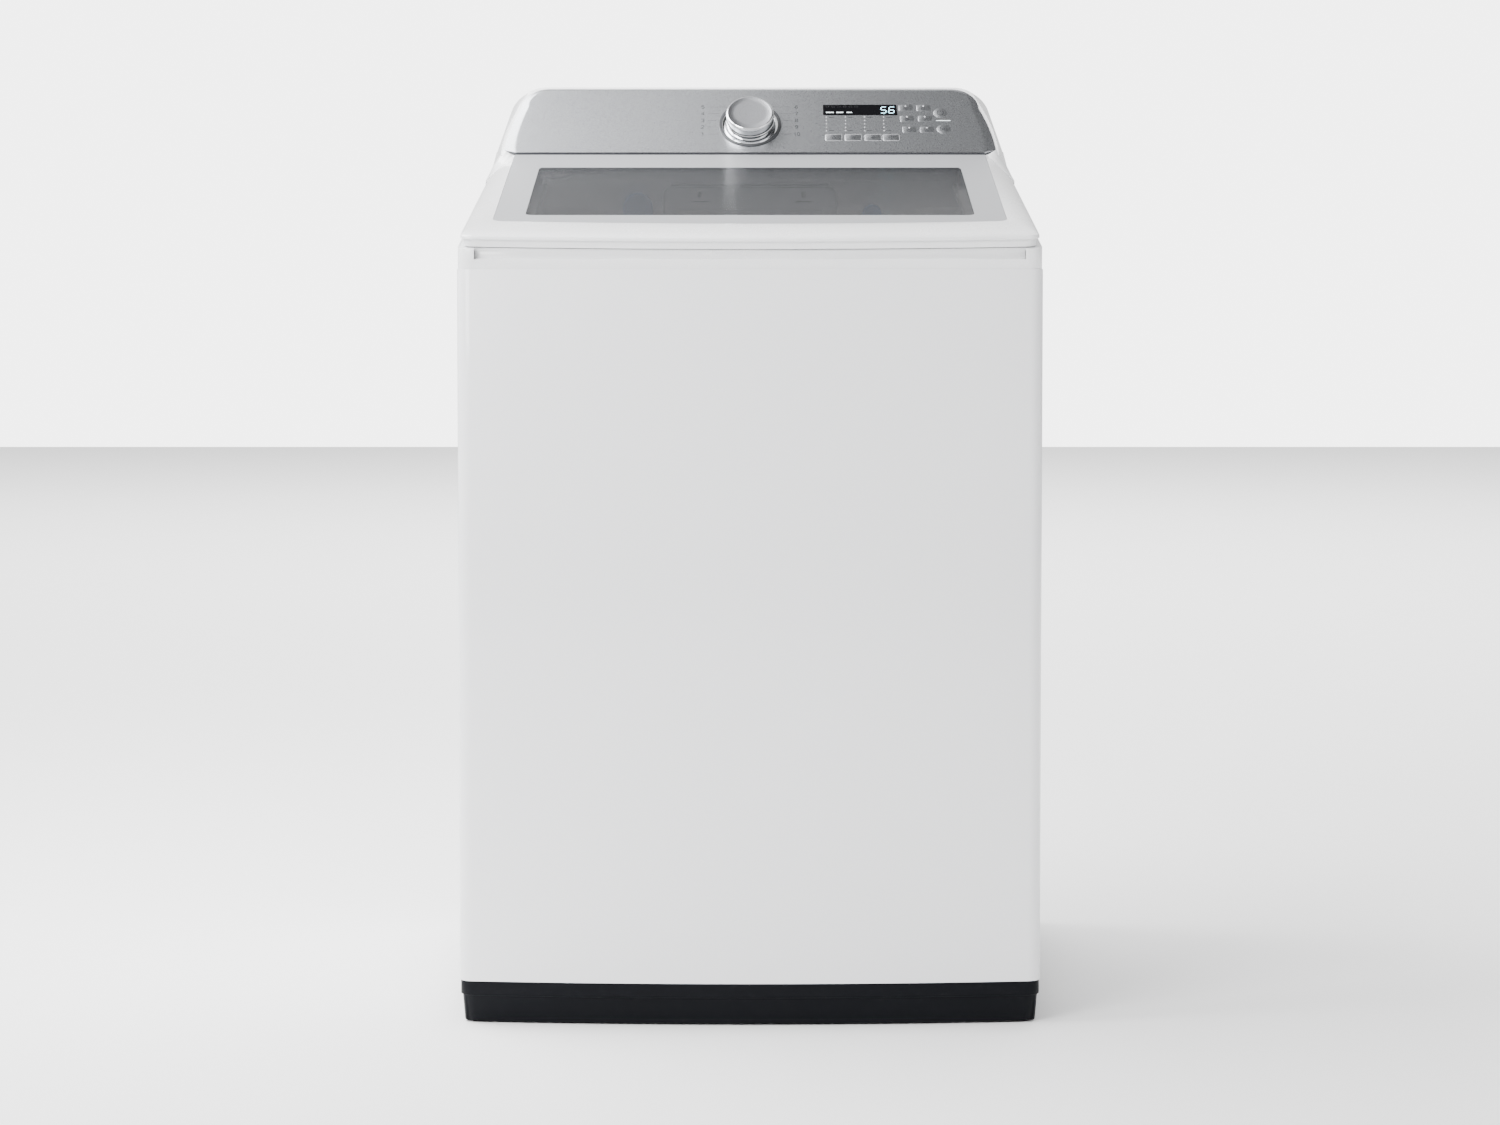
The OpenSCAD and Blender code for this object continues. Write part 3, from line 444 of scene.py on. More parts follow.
def clearFinish(name, color, alpha, roughness, amount=0.08, constants=None):
    material, tree, shader, position = startMaterial(name, 0.0, constants)
    cloud = useGroup(tree, mottle, position, Clouds=10.0, Grain=500.0)
    tree.links.new(tinted(tree, color, cloud.outputs["Tone"], 0.1), shader.inputs["Base Color"])
    tree.links.new(shifted(tree, roughness, cloud.outputs["Tone"], 0.03), shader.inputs["Roughness"])
    tree.links.new(shifted(tree, alpha, cloud.outputs["Tone"], amount), shader.inputs["Alpha"])
    return material


smokedGlass = clearFinish("smokedGlass", (0.016, 0.017, 0.02), 0.57, 0.3, 0.06, {"Specular IOR Level": 0.25})
blueClear = clearFinish("blueClear", (0.12, 0.3, 0.72), 0.86, 0.2)


def glowFinish(name, color, strength):
    material, tree, shader, position = startMaterial(name, 0.0, {"Roughness": 0.4})
    cloud = useGroup(tree, mottle, position, Clouds=200.0, Grain=900.0)
    surface = tinted(tree, color, cloud.outputs["Tone"], 0.2)
    tree.links.new(surface, shader.inputs["Base Color"])
    tree.links.new(surface, shader.inputs["Emission Color"])
    shader.inputs["Emission Strength"].default_value = strength
    return material


glowCyan = glowFinish("glowCyan", (0.45, 0.85, 1.0), 2.2)
glowWhite = glowFinish("glowWhite", (0.9, 0.97, 1.0), 1.2)
materialOf = {
    "white_enamel": whiteEnamel, "white_plastic": whitePlastic, "drawer_plastic": drawerPlastic,
    "zinc_sheet": zincSheet, "base_plastic": basePlastic, "foot_rubber": footRubber,
    "lid_glass": borderGrey, "shaft_steel": shaftSteel, "spring_steel": springSteel,
    "dark_plastic": darkPlastic, "panel_silver": panelSilver, "display_black": displayBlack,
    "circuit_board": circuitBoard, "knob_metal": knobFace, "jet_blue": blueClear,
    "tub_plastic": tubPlastic, "cast_alloy": castAlloy, "winding_copper": copperWire,
    "stainless_drum": drumSteel, "pulsator_plastic": pulsatorPlastic,
}
print("materials ready:", len(bpy.data.materials))


# CAD shapes carried over with softened edges

def softened(node, width, segments=2, angle=32, material=None, name=None):
    source = frame["nodes"][node]
    work = bmesh.new()
    work.from_mesh(source.data)
    bmesh.ops.remove_doubles(work, verts=work.verts, dist=2e-6)
    bmesh.ops.dissolve_limit(work, angle_limit=math.radians(0.6), verts=work.verts, edges=work.edges,
                             delimit={"NORMAL"})
    mesh = bpy.data.meshes.new(name or node)
    work.to_mesh(mesh)
    work.free()
    piece = finishMesh(mesh, name or "soft_" + node, material or materialOf[slotOf[node]])
    bevelled(piece, width, segments, angle)
    return standsFor(settled(piece, piece.data.materials[0]), node)


softEdges = {
    "cabinet": 1.0, "rear_panel": 0.4, "base_frame": 1.6, "top_cover": 1.2, "lid_inner_frame": 1.2,
    "lid_strike": 0.8, "hinge_brackets": 0.8, "lid_lock": 0.8, "lock_bolt": 0.6, "control_board": 0.3,
    "dispenser_housing": 0.6, "outer_tub": 1.5, "tub_cover": 0.8, "bearing_housing": 1.2, "bearings": 0.8,
    "shaft_seal": 0.8, "basket_hub": 1.2, "balance_ring": 2.0, "spin_shaft": 0.5, "wash_shaft": 0.8,
    "rotor": 0.8, "clutch_coupler": 0.6, "suspension_rods": 0.6, "drain_pump": 1.2, "pump_impeller": 0.4,
    "inlet_valve": 0.8, "cord_gland": 0.8, "hinge_pins": 0.5, "lid_bumpers": 0.5, "control_housing": 3.0,
    "foot_front_left": 1.0, "foot_front_right": 1.0, "foot_rear_left": 1.0, "foot_rear_right": 1.0,
}
softPieces = {node: softened(node, width * mm, segments=4 if width > 2.5 else 2)
              for node, width in softEdges.items()}
baseShape = {"bandTop": 33.0, "bandHeight": 31.0, "drawIn": 2.6, "sideFrom": 310.0, "frontTo": 28.0}


def taperBase(points):  # the lower band draws in towards the floor
    s = baseShape
    for point in points:
        draw = s["drawIn"] * mm * max(0.0, s["bandTop"] * mm - point.z) / (s["bandHeight"] * mm)
        if abs(point.x) > s["sideFrom"] * mm:
            point.x -= math.copysign(draw, point.x)
        if point.y < frontY + s["frontTo"] * mm:
            point.y += draw


taperBase([vertex.co for vertex in softPieces["base_frame"].data.vertices])
print("softened CAD shapes:", len(softEdges))


# lid: white border lofted from the rim up to the glass

lidShape = {
    "rimHalf": 339.0, "rimFront": 6.0, "rimRadius": 15.0, "rimSideEnd": 505.0, "rearHalf": 307.5, "rear": 539.0,
    "glassHalf": 306.0, "glassFront": 85.0, "glassRadius": 15.0, "glassRear": 537.8,
    "windowHalf": 269.0, "windowFront": 136.5, "windowRear": 447.0, "windowRadius": 9.0,
    "deckSlope": math.tan(math.radians(9.1)), "rimBottom": 918.9, "rimDeep": 5.0,
    "glassZ": 923.9, "glassSlope": math.tan(math.radians(11.8)), "glassThick": 4.0, "bulge": 1.6, "rearRoom": 0.25,
    "glassSideEnd": 503.0, "border": 7.0, "borderRadius": 12.0, "seat": 0.1, "underGlass": 3.0, "rimLift": 6.0,
    "glassGap": 0.4, "windowGap": 0.15, "shares": (0.0, 0.25, 0.5, 0.7, 0.85),
    "roll": ((2.2, 0.35), (0.8, 1.2), (0.1, 2.6), (0.0, 4.6), (0.35, 5.0), (3.0, 5.0)),
}


def glassHeight(depth):
    return lidShape["glassZ"] + lidShape["glassSlope"] * depth


def lidOutline(half, front, radius, sideEnd, rearHalf, rear, bowed=True):
    drop = bowDepth if bowed else (lambda x: 0.0)
    flat = half - radius
    right = [(flat * i / 24, front + drop(flat * i / 24)) for i in range(24)]
    centre = front + drop(flat) + radius
    right += [(flat + radius * math.sin(math.radians(9 * i)), centre - radius * math.cos(math.radians(9 * i)))
              for i in range(11)]
    right += [(half, centre + (sideEnd - centre) * i / 24) for i in range(1, 25)]
    right += [(half + (rearHalf - half) * i / 8, sideEnd + (rear - sideEnd) * i / 8) for i in range(1, 9)]
    right += [(rearHalf * (1 - i / 24), rear) for i in range(1, 25)]
    return mirrored(right)


hinge = Vector(joints["lid_hinge"]["pos_m"])
rearReach = max(math.hypot(corner.co.y - hinge.y, corner.co.z - hinge.z)
                for corner in frame["nodes"]["lid_frame"].data.vertices if corner.co.y > hinge.y)


def clearOfScoop(point):  # the rear edge keeps its swing inside the scoop behind the hinge
    arm = Vector((0, point.y - hinge.y, point.z - hinge.z))
    room = rearReach - lidShape["rearRoom"] * mm
    if arm.y <= 0 or arm.length <= room:
        return point
    return point + arm * (room / arm.length - 1)


def rimTop(depth):
    s = lidShape
    low = s["rimBottom"] + s["rimDeep"] + s["deckSlope"] * depth
    climb = min(max((depth - s["rimSideEnd"]) / (s["rear"] - s["rimSideEnd"]), 0), 1)
    return low + (glassHeight(depth) - 0.8 - low) * climb


def makeLidFrame():
    s = lidShape
    rim = lidOutline(s["rimHalf"], s["rimFront"], s["rimRadius"], s["rimSideEnd"], s["rearHalf"], s["rear"])
    glass = lidOutline(s["glassHalf"], s["glassFront"], s["glassRadius"], s["glassSideEnd"], s["glassHalf"],
                       s["glassRear"])
    window = lidOutline(s["windowHalf"] + s["border"], s["windowFront"] - s["border"], s["borderRadius"],
                        s["windowRear"] - 5, s["windowHalf"] - 5, s["windowRear"] + s["border"], bowed=False)
    pairs = list(zip(glass, rim))
    rings = []
    for share in s["shares"]:
        ring = []
        for (gx, gd), (rx, rd) in pairs:
            x, depth = gx + (rx - gx) * share, gd + (rd - gd) * share
            z = glassHeight(gd) + (rimTop(rd) - glassHeight(gd)) * share
            ring.append(at(x, depth, z + s["bulge"] * 4 * share * (1 - share)))
        rings.append(ring)
    for inset, drop in s["roll"]:  # (towards the glass, down) round the rim's edge
        ring = []
        for (gx, gd), (rx, rd) in pairs:
            away = Vector((gx - rx, gd - rd))
            away = away.normalized() * min(inset, away.length * 0.6) if away.length else away
            ring.append(at(rx + away.x, rd + away.y, rimTop(rd) - drop))
        rings.append(ring)
    under, seat = s["glassThick"] + s["underGlass"], s["glassThick"] + s["seat"]
    rings.append([at(gx, gd, min(glassHeight(gd) - under, rimTop(rd) + s["rimLift"]))
                  for (gx, gd), (rx, rd) in pairs])
    for outline, drop in ((window, under), (window, seat), (glass, seat)):
        rings.append([at(x, depth, glassHeight(depth) - drop) for x, depth in outline])
    points, faces = stackRings(rings, backToStart=True)
    border = meshFrom("lidBorder", [clearOfScoop(point) for point in points], faces, whitePlastic, 40)
    standsFor(border, "lid_frame")


def makeLidGlass():
    s = lidShape
    gap, inset = s["glassGap"], s["windowGap"]
    glass = lidOutline(s["glassHalf"] - gap, s["glassFront"] + gap, s["glassRadius"], s["glassSideEnd"],
                       s["glassHalf"] - gap, s["glassRear"] - 0.3)
    straight = s["windowRear"] - s["windowRadius"]
    window = lidOutline(s["windowHalf"], s["windowFront"], s["windowRadius"], straight, s["windowHalf"] - 2.6,
                        s["windowRear"], bowed=False)
    inner = lidOutline(s["windowHalf"] - inset, s["windowFront"] + inset, s["windowRadius"], straight,
                       s["windowHalf"] - 2.8, s["windowRear"] - inset, bowed=False)
    top, low = 0.0, s["glassThick"] - 0.2
    rings = [[at(x, depth, glassHeight(depth) - drop) for x, depth in outline]
             for outline, drop in ((window, low), (window, top), (glass, top), (glass, top + 0.4),
                                   (glass, low - 0.4), (glass, low))]
    points, faces = stackRings(rings, backToStart=True)
    border = meshFrom("glassBorder", points, faces, borderGrey, 30)
    standsFor(border, "lid_glass")
    points, faces = cappedRings([[at(x, depth, glassHeight(depth) - drop) for x, depth in inner]
                                 for drop in (top, low)])
    ridesWith(meshFrom("glassWindow", points, faces, smokedGlass, 30), "lid_glass")


makeLidFrame()
makeLidGlass()
print("lid ready")


# white shoulders between the lid's rear corners and the control panel

shoulderShape = {
    "ribs": [((342.2, 508.5, 1001.5), (306.8, 541.0, 1034.5)), ((342.3, 530.0, 1004.5), (313.5, 543.0, 1038.6)),
             ((342.4, 556.0, 1007.5), (320.4, 549.0, 1043.0)), ((342.5, 600.0, 1011.0), (325.5, 590.0, 1044.5)),
             ((342.6, 650.0, 1022.0), (331.0, 650.0, 1045.5)), ((342.7, 700.0, 1034.5), (336.5, 700.0, 1046.0)),
             ((342.8, 738.0, 1043.0), (341.0, 738.0, 1046.0))],
    "across": 8, "between": 5, "sink": 0.3, "outerFoot": 960.0, "innerFoot": 985.0, "footSlope": 0.16,
    "footFrom": 508.0, "bulgeOut": 0.9, "bulgeUp": 1.1, "tuck": (-4.0, 3.0, -3.0), "edge": 1.2,
}


def smoothBetween(p0, p1, p2, p3, t):  # the curve through p1 and p2 that heads as its neighbours do
    return 0.5 * (2 * p1 + (p2 - p0) * t + (2 * p0 - 5 * p1 + 4 * p2 - p3) * t * t
                  + (3 * p1 - p0 - 3 * p2 + p3) * t ** 3)


def makeShoulder(side):
    s = shoulderShape
    ribs, between, last = s["ribs"], s["between"], len(s["ribs"]) - 1
    rows = []
    for k in range(last * between + 1):
        i = min(k // between, last - 1)
        near = (ribs[max(i - 1, 0)], ribs[i], ribs[i + 1], ribs[min(i + 2, last)])
        outer, inner = (smoothBetween(*(Vector(rib[e]) for rib in near), k / between - i) for e in (0, 1))

        def footAt(low, point):
            return low + s["footSlope"] * (point.y - s["footFrom"])

        row = [Vector((outer.x - s["sink"], outer.y, footAt(s["outerFoot"], outer)))]
        for j in range(s["across"] + 1):
            u = j / s["across"]
            lift = 4 * u * (1 - u)
            row.append(outer.lerp(inner, u) + Vector((s["bulgeOut"], 0, s["bulgeUp"])) * lift)
        tucked = inner + Vector(s["tuck"])
        row.append(tucked)
        row.append(Vector((tucked.x, tucked.y, footAt(s["innerFoot"], inner))))
        rows.append([at(side * p.x, p.y, p.z) for p in row])
    points, faces = cappedRings(rows)
    shoulder = meshFrom("leftShoulder" if side < 0 else "rightShoulder", points, faces, whitePlastic, 50)
    bevelled(shoulder, s["edge"] * mm, 2, 50)
    ridesWith(settled(shoulder, whitePlastic, 50), "top_cover")


for side in (-1, 1):
    makeShoulder(side)
print("shoulders ready")


# control panel plate, buttons and knob

def panelPlace(node):  # extent of a CAD node on the panel: across and up the slope
    rows = [(corner.co.x / mm, (corner.co - knobFoot).dot(panelUp) / mm + knobUp)
            for corner in frame["nodes"][node].data.vertices]
    across = [r[0] for r in rows]
    upward = [r[1] for r in rows]
    return min(across), max(across), min(upward), max(upward)


def roundedBox(x0, x1, up0, up1, radius, steps=5):
    corners = ((x1 - radius, up0 + radius, -90), (x1 - radius, up1 - radius, 0),
               (x0 + radius, up1 - radius, 90), (x0 + radius, up0 + radius, 180))
    return [(cx + radius * math.cos(math.radians(start + 90 * i / steps)),
             cy + radius * math.sin(math.radians(start + 90 * i / steps)))
            for cx, cy, start in corners for i in range(steps + 1)]


def panelPrism(name, outline, layers, material, smoothAngle=35):  # layers: (inset towards the middle, out)
    midX = sum(p[0] for p in outline) / len(outline)
    midUp = sum(p[1] for p in outline) / len(outline)
    rings = []
    for inset, out in layers:
        ring = []
        for x, up in outline:
            away = Vector((midX - x, midUp - up))
            away = away.normalized() * inset
            ring.append(onPanel(x + away.x, up + away.y, out))
        rings.append(ring)
    points, faces = cappedRings(rings)
    return meshFrom(name, points, faces, material, smoothAngle)


# one out range below places the dark strip that paints the shade in the gap under the plate's lower edge
panelShape = {
    "foot": 3.2, "top": 124.0, "footHalf": 306.0, "sideHalf": 321.0, "cornerUp": 9.5, "lean": 18.4, "leanAt": 83.3,
    "leanPower": 1.7, "cornerRadius": 36.0, "facetLow": 14.5, "facetHigh": 9.5, "facetTop": 5.0, "facetFoot": 0.3,
    "facetDrop": 2.9, "gap": 0.15, "holeRadius": 2.6, "cutDeep": 6.0, "shadeStripOut": (-2.0, -3.2),
    "edge": ((0.04, -2.95), (0.0, -2.9), (0.0, -2.4), (0.5, -1.25), (0.85, -0.3), (1.0, -0.04), (1.14, 0.0)),
}
buttonNodes = ["setting_button_%d" % i for i in range(1, 5)] + ["option_button_%d" % i for i in range(1, 7)]
roundNodes = ["power_button", "start_button"]


def panelSide(up):
    return panelShape["sideHalf"] - panelShape["lean"] * (up / panelShape["leanAt"]) ** panelShape["leanPower"]


def panelOutline():  # half of the outline, each point with its way across the sloping facet
    s = panelShape
    radius, bend = s["cornerRadius"], s["top"] - s["cornerRadius"]
    widen, climb = panelSide(s["cornerUp"]) - s["footHalf"], s["cornerUp"] - s["foot"]
    outer = [(s["footHalf"] * i / 16, s["foot"], 0, s["facetFoot"]) for i in range(17)]
    outer += [(s["footHalf"] + widen * i / 4, s["foot"] + climb * i / 4, -widen * i / 4 - 0.6,
               s["facetFoot"] - climb * i / 4 * 0.9) for i in range(1, 5)]
    for i in range(1, 20):
        up = s["cornerUp"] + (bend - s["cornerUp"]) * i / 19
        outer.append((panelSide(up), up, -(s["facetLow"] + (s["facetHigh"] - s["facetLow"]) * i / 19), 0))
    flat = panelSide(bend) - radius
    for i in range(1, 19):
        turn = math.radians(5 * i)
        width = s["facetHigh"] + (s["facetTop"] - s["facetHigh"]) * i / 18
        outer.append((flat + radius * math.cos(turn), bend + radius * math.sin(turn),
                      -width * math.cos(turn), -width * math.sin(turn)))
    return outer + [(flat * (1 - i / 16), s["top"], 0, -s["facetTop"]) for i in range(1, 17)]


def panelHoles():  # one prism through the plate for each button
    gap, deep = panelShape["gap"], panelShape["cutDeep"]
    points, faces = [], []
    for node in buttonNodes + roundNodes:
        x0, x1, up0, up1 = panelPlace(node)
        corner, steps = (panelShape["holeRadius"], 5) if node in buttonNodes else ((x1 - x0) / 2 + gap - 0.01, 9)
        outline = roundedBox(x0 - gap, x1 + gap, up0 - gap, up1 + gap, corner, steps)
        base = len(points)
        more, walls = cappedRings([[onPanel(x, up, out) for x, up in outline] for out in (-deep, deep)])
        points += more
        faces += [tuple(base + i for i in wall) for wall in walls]
    return meshFrom("panelCutter", points, faces, panelSilver)


def makePanelPlate():
    outer = panelOutline()
    left = [(-x, up, -dx, dup) for x, up, dx, dup in reversed(outer[1:-1])]
    rings = [[onPanel(x + dx * share, up + dup * share, out) for x, up, dx, dup in outer + left]
             for share, out in panelShape["edge"]]
    points, faces = cappedRings(rings)
    plate = meshFrom("panelPlate", points, faces, panelSilver, 25)
    cutter = panelHoles()
    cut = plate.modifiers.new("holes", "BOOLEAN")
    cut.operation = "DIFFERENCE"
    cut.object = cutter
    cut.solver = "EXACT"
    plate = settled(plate, panelSilver, 25)
    bpy.data.objects.remove(cutter)
    standsFor(plate, "control_panel")


def makePanelSeal():  # painted shade: a dark strip in the gap under the plate's lower edge stands in for the shadow that falls there
    s = panelShape
    stripOutline = [(0, 0.6), (s["footHalf"] - 1, 0.6), (s["sideHalf"] - 2, 7.2), (s["sideHalf"] - 2.6, 10.0),
            (s["footHalf"] - 2, 4.0), (0, 4.0)]
    points, faces = cappedRings([[onPanel(x, up, out) for x, up in mirrored(stripOutline)] for out in s["shadeStripOut"]])
    ridesWith(meshFrom("panelShadeStrip", points, faces, darkPlastic), "control_panel")


capShape = {"radius": 2.45, "layers": ((0, -5.0), (0, -0.1), (0.08, 0.1), (0.3, 0.22))}


def makeCap(node):
    x0, x1, up0, up1 = panelPlace(node)
    corner, steps = (capShape["radius"], 5) if node in buttonNodes else ((x1 - x0) / 2 - 0.01, 12)
    standsFor(panelPrism(node + "Cap", roundedBox(x0, x1, up0, up1, corner, steps), capShape["layers"],
                         buttonSilver, 40), node)


makePanelPlate()
makePanelSeal()
for node in buttonNodes + roundNodes:
    makeCap(node)
print("panel and buttons ready")


knobShape = {"profile": [(0, 21.3), (10, 21.35), (20, 21.5), (27.6, 21.7), (28.2, 21.95), (29.3, 21.85)],
             "wall": [(29.3, 21.85), (30.4, 21.2), (31.2, 19.8), (31.4, 17.6), (31.2, 9.4), (30.7, 8.9), (30.7, 8.2),
                      (31.2, 7.7), (31.5, 1.6), (31.1, 1.1), (28.6, 1.1), (28.6, 18.0), (8.0, 18.0), (8.0, 4.0),
                      (3.0, 4.0), (3.0, -11.0), (0.0, -11.0)]}


def turnedOnPanel(name, profile, material, steps=128, smoothAngle=30):
    rings = []
    for i in range(steps):
        turn = 2 * math.pi * i / steps
        rings.append([onPanel(r * math.cos(turn), knobUp + r * math.sin(turn), out) for r, out in profile])
    points, faces = stackRings(rings, around=False, backToStart=True)
    return meshFrom(name, points, faces, material, smoothAngle)


standsFor(turnedOnPanel("knobWall", knobShape["wall"], knobBright), "knob")
ridesWith(turnedOnPanel("knobFaceDisc", knobShape["profile"], knobFace), "knob")
ringProfile = [(37.0, 0.0), (37.0, 1.0), (37.4, 1.45), (40.2, 1.5), (40.8, 1.1), (41.0, 0.0)]
standsFor(turnedOnPanel("dialRing", ringProfile + [ringProfile[0]], darkPlastic), "knob_ring")
glowRing = [(32.6, 0.02), (33.2, 0.35), (36.4, 0.35), (36.9, 0.02)]
ridesWith(turnedOnPanel("dialAnnulus", glowRing + [glowRing[0]], knobBright), "knob_ring")
print("knob ready")


# printed strokes, display, lamps

def strokes(name, lines, width, out, node, material, place=onPanel, thick=0.05):
    points, faces = [], []
    for line in lines:
        closed = line[0] == line[-1] and len(line) > 2
        path = line[:-1] if closed else line
        count = len(path)
        base = len(points)
        for i, (x, up) in enumerate(path):
            here = Vector((x, up))
            before = Vector(path[i - 1]) if closed or i else here
            after = Vector(path[(i + 1) % count]) if closed or i < count - 1 else here
            inward = (here - before).normalized() if (here - before).length else Vector((0, 0))
            onward = (after - here).normalized() if (after - here).length else Vector((0, 0))
            along = (inward + onward).normalized() if (inward + onward).length > 0.01 else onward
            normal = Vector((-along.y, along.x))
            scale = width / 2
            if inward.length and onward.length:
                scale /= max(abs(normal.dot(Vector((-onward.y, onward.x)))), 0.5)
            for edge in (1, -1):
                for height in (out, out + thick):
                    spot = here + normal * scale * edge
                    points.append(place(spot.x, spot.y, height))
        steps = count if closed else count - 1
        for i in range(steps):
            a, b = base + 4 * i, base + 4 * ((i + 1) % count)
            faces += [(a + 1, b + 1, b + 3, a + 3), (a, a + 2, b + 2, b), (a, b, b + 1, a + 1),
                      (a + 2, a + 3, b + 3, b + 2)]
        if not closed:
            last = base + 4 * (count - 1)
            faces += [(base, base + 1, base + 3, base + 2), (last, last + 2, last + 3, last + 1)]
    mesh = bpy.data.meshes.new(name)
    mesh.from_pydata([tuple(p) for p in points], [], faces)
    work = bmesh.new()
    work.from_mesh(mesh)
    bmesh.ops.recalc_face_normals(work, faces=work.faces)
    work.to_mesh(mesh)
    work.free()
    return ridesWith(finishMesh(mesh, name, material, 20), node)


def arc(cx, cy, radius, start, end, steps=14):
    return [(cx + radius * math.cos(math.radians(start + (end - start) * i / steps)),
             cy + radius * math.sin(math.radians(start + (end - start) * i / steps))) for i in range(steps + 1)]


def moved(lines, x, up, size=1.0):
    return [[(x + px * size, up + py * size) for px, py in line] for line in lines]


segmentEnds = {"a": ((0, 6), (4, 6)), "b": ((4, 6), (4, 3)), "c": ((4, 3), (4, 0)), "d": ((0, 0), (4, 0)),
               "e": ((0, 0), (0, 3)), "f": ((0, 3), (0, 6)), "g": ((0, 3), (4, 3))}
digitSegments = {"0": "abcdef", "1": "bc", "2": "abged", "3": "abgcd", "4": "fgbc", "5": "afgcd", "6": "afgedc",
                 "7": "abc", "8": "abcdefg", "9": "abcdfg"}
digitStrokes = {
    "0": [[(0, 1.5), (0, 4.5), (1, 6), (3, 6), (4, 4.5), (4, 1.5), (3, 0), (1, 0), (0, 1.5)]],
    "1": [[(0.8, 4.6), (2.4, 6), (2.4, 0)]],
    "2": [[(0, 4.6), (1, 6), (3, 6), (4, 4.8), (3.6, 3.4), (0, 0), (4, 0)]],
    "3": [[(0, 5.4), (1, 6), (3, 6), (4, 5), (3.6, 3.6), (1.8, 3.2), (3.6, 2.8), (4, 1.2), (3, 0), (1, 0), (0, 0.8)]],
    "4": [[(3, 0), (3, 6), (0, 1.8), (4, 1.8)]],
    "5": [[(3.8, 6), (0.6, 6), (0.2, 3.4), (2.4, 3.8), (4, 2.6), (4, 1.2), (2.8, 0), (1, 0), (0, 0.8)]],
    "6": [[(3.6, 5.4), (2.6, 6), (1.2, 5.8), (0.2, 4), (0, 1.6), (1, 0), (3, 0), (4, 1.4), (3.6, 3), (2, 3.5),
           (0.2, 2.6)]],
    "7": [[(0, 6), (4, 6), (1.4, 0)]],
    "8": [[(1, 3.2), (0.2, 4.6), (1, 6), (3, 6), (3.8, 4.6), (3, 3.2), (1, 3.2)],
          [(1, 3.2), (0, 1.6), (1, 0), (3, 0), (4, 1.6), (3, 3.2)]],
    "9": [[(0.4, 0.6), (1.6, 0), (3, 0.4), (3.9, 2.4), (4, 4.4), (3, 6), (1, 6), (0, 4.6), (0.4, 3), (2, 2.5),
           (3.8, 3.4)]],
}


def segmentDigit(digit, x, up, size, lean=0.12, gap=0.42):
    lines = []
    for name in digitSegments[digit]:
        (x0, y0), (x1, y1) = segmentEnds[name]
        length = math.hypot(x1 - x0, y1 - y0)
        ux, uy = (x1 - x0) / length * gap, (y1 - y0) / length * gap
        lines.append([(x0 + ux, y0 + uy), (x1 - ux, y1 - uy)])
    return [[(x + (px + lean * py) * size, up + py * size * 1.12) for px, py in line] for line in lines]


displayShape = {"digitSize": 1.72, "digitWidth": 1.35, "digitsAt": (171.5, 76.2), "digitPitch": 10.6,
                "layers": ((0, -2.5), (0, 0.12), (0.2, 0.26)), "printOut": 0.28, "left": 100.0,
                "iconUp": 87.2, "iconSize": (3.4, 2.6), "iconPitch": 7.6, "icons": 6, "iconWidth": 0.35,
                "stageUp": 77.4, "stagePitch": 13.5, "stages": (10, 9, 7), "stageWidth": 1.5}


def makeDisplay():
    s = displayShape
    x0, x1, up0, up1 = panelPlace("display_window")
    outline = [(x0 + 0.8, up0), (x1 + 0.4, up0), (x1 + 0.8, up0 + 0.8), (x1 - 0.6, up1 - 0.6), (x1 - 1.2, up1),
               (x0 + 0.8, up1), (x0, up1 - 0.8), (x0, up0 + 0.8)]
    standsFor(panelPrism("displayGlass", outline, s["layers"], displayBlack, 30), "display_window")

    def shown(name, lines, width, ink):
        strokes(name, lines, width, s["printOut"], "display_window", ink)

    lines = []
    for i, digit in enumerate("56"):
        lines += segmentDigit(digit, s["digitsAt"][0] + i * s["digitPitch"], s["digitsAt"][1], s["digitSize"])
    shown("displayDigits", lines, s["digitWidth"], glowCyan)
    wide, tall = s["iconSize"]
    shown("displayGhosts", [[(s["left"] + s["iconPitch"] * i + dx, s["iconUp"] + dy) for dx, dy in
                             ((0, 0), (wide, 0), (wide, tall), (0, tall), (0, 0))] for i in range(s["icons"])],
          s["iconWidth"], inkDark)
    shown("displayStages", [[(s["left"] + s["stagePitch"] * i + dx, s["stageUp"]) for dx in (0, length)]
                            for i, length in enumerate(s["stages"])], s["stageWidth"], glowWhite)


makeDisplay()


def geometryGroup(name, settings):  # the sockets' identifiers come back by title
    group = bpy.data.node_groups.new(name, "GeometryNodeTree")
    group.interface.new_socket("Geometry", in_out="INPUT", socket_type="NodeSocketGeometry")
    inputs = {}
    for title, kind, value in settings + [("Finish", "NodeSocketMaterial", None)]:
        socket = group.interface.new_socket(title, in_out="INPUT", socket_type=kind)
        if value is not None:
            socket.default_value = value
        inputs[title] = socket.identifier
    group.interface.new_socket("Geometry", in_out="OUTPUT", socket_type="NodeSocketGeometry")
    return group, inputs, group.nodes.new("NodeGroupInput"), group.nodes.new("NodeGroupOutput")


def madeReal(group, start, end, copies, weld=None):
    real = addNode(group, "GeometryNodeRealizeInstances")
    group.links.new(copies.outputs["Instances"], real.inputs[0])
    mesh = real.outputs[0]
    if weld is not None:
        joined = addNode(group, "GeometryNodeMergeByDistance")
        group.links.new(mesh, joined.inputs["Geometry"])
        group.links.new(weld, joined.inputs["Distance"])
        mesh = joined.outputs["Geometry"]
    paint = addNode(group, "GeometryNodeSetMaterial")
    group.links.new(mesh, paint.inputs["Geometry"])
    group.links.new(start.outputs["Finish"], paint.inputs["Material"])
    group.links.new(paint.outputs["Geometry"], end.inputs[0])


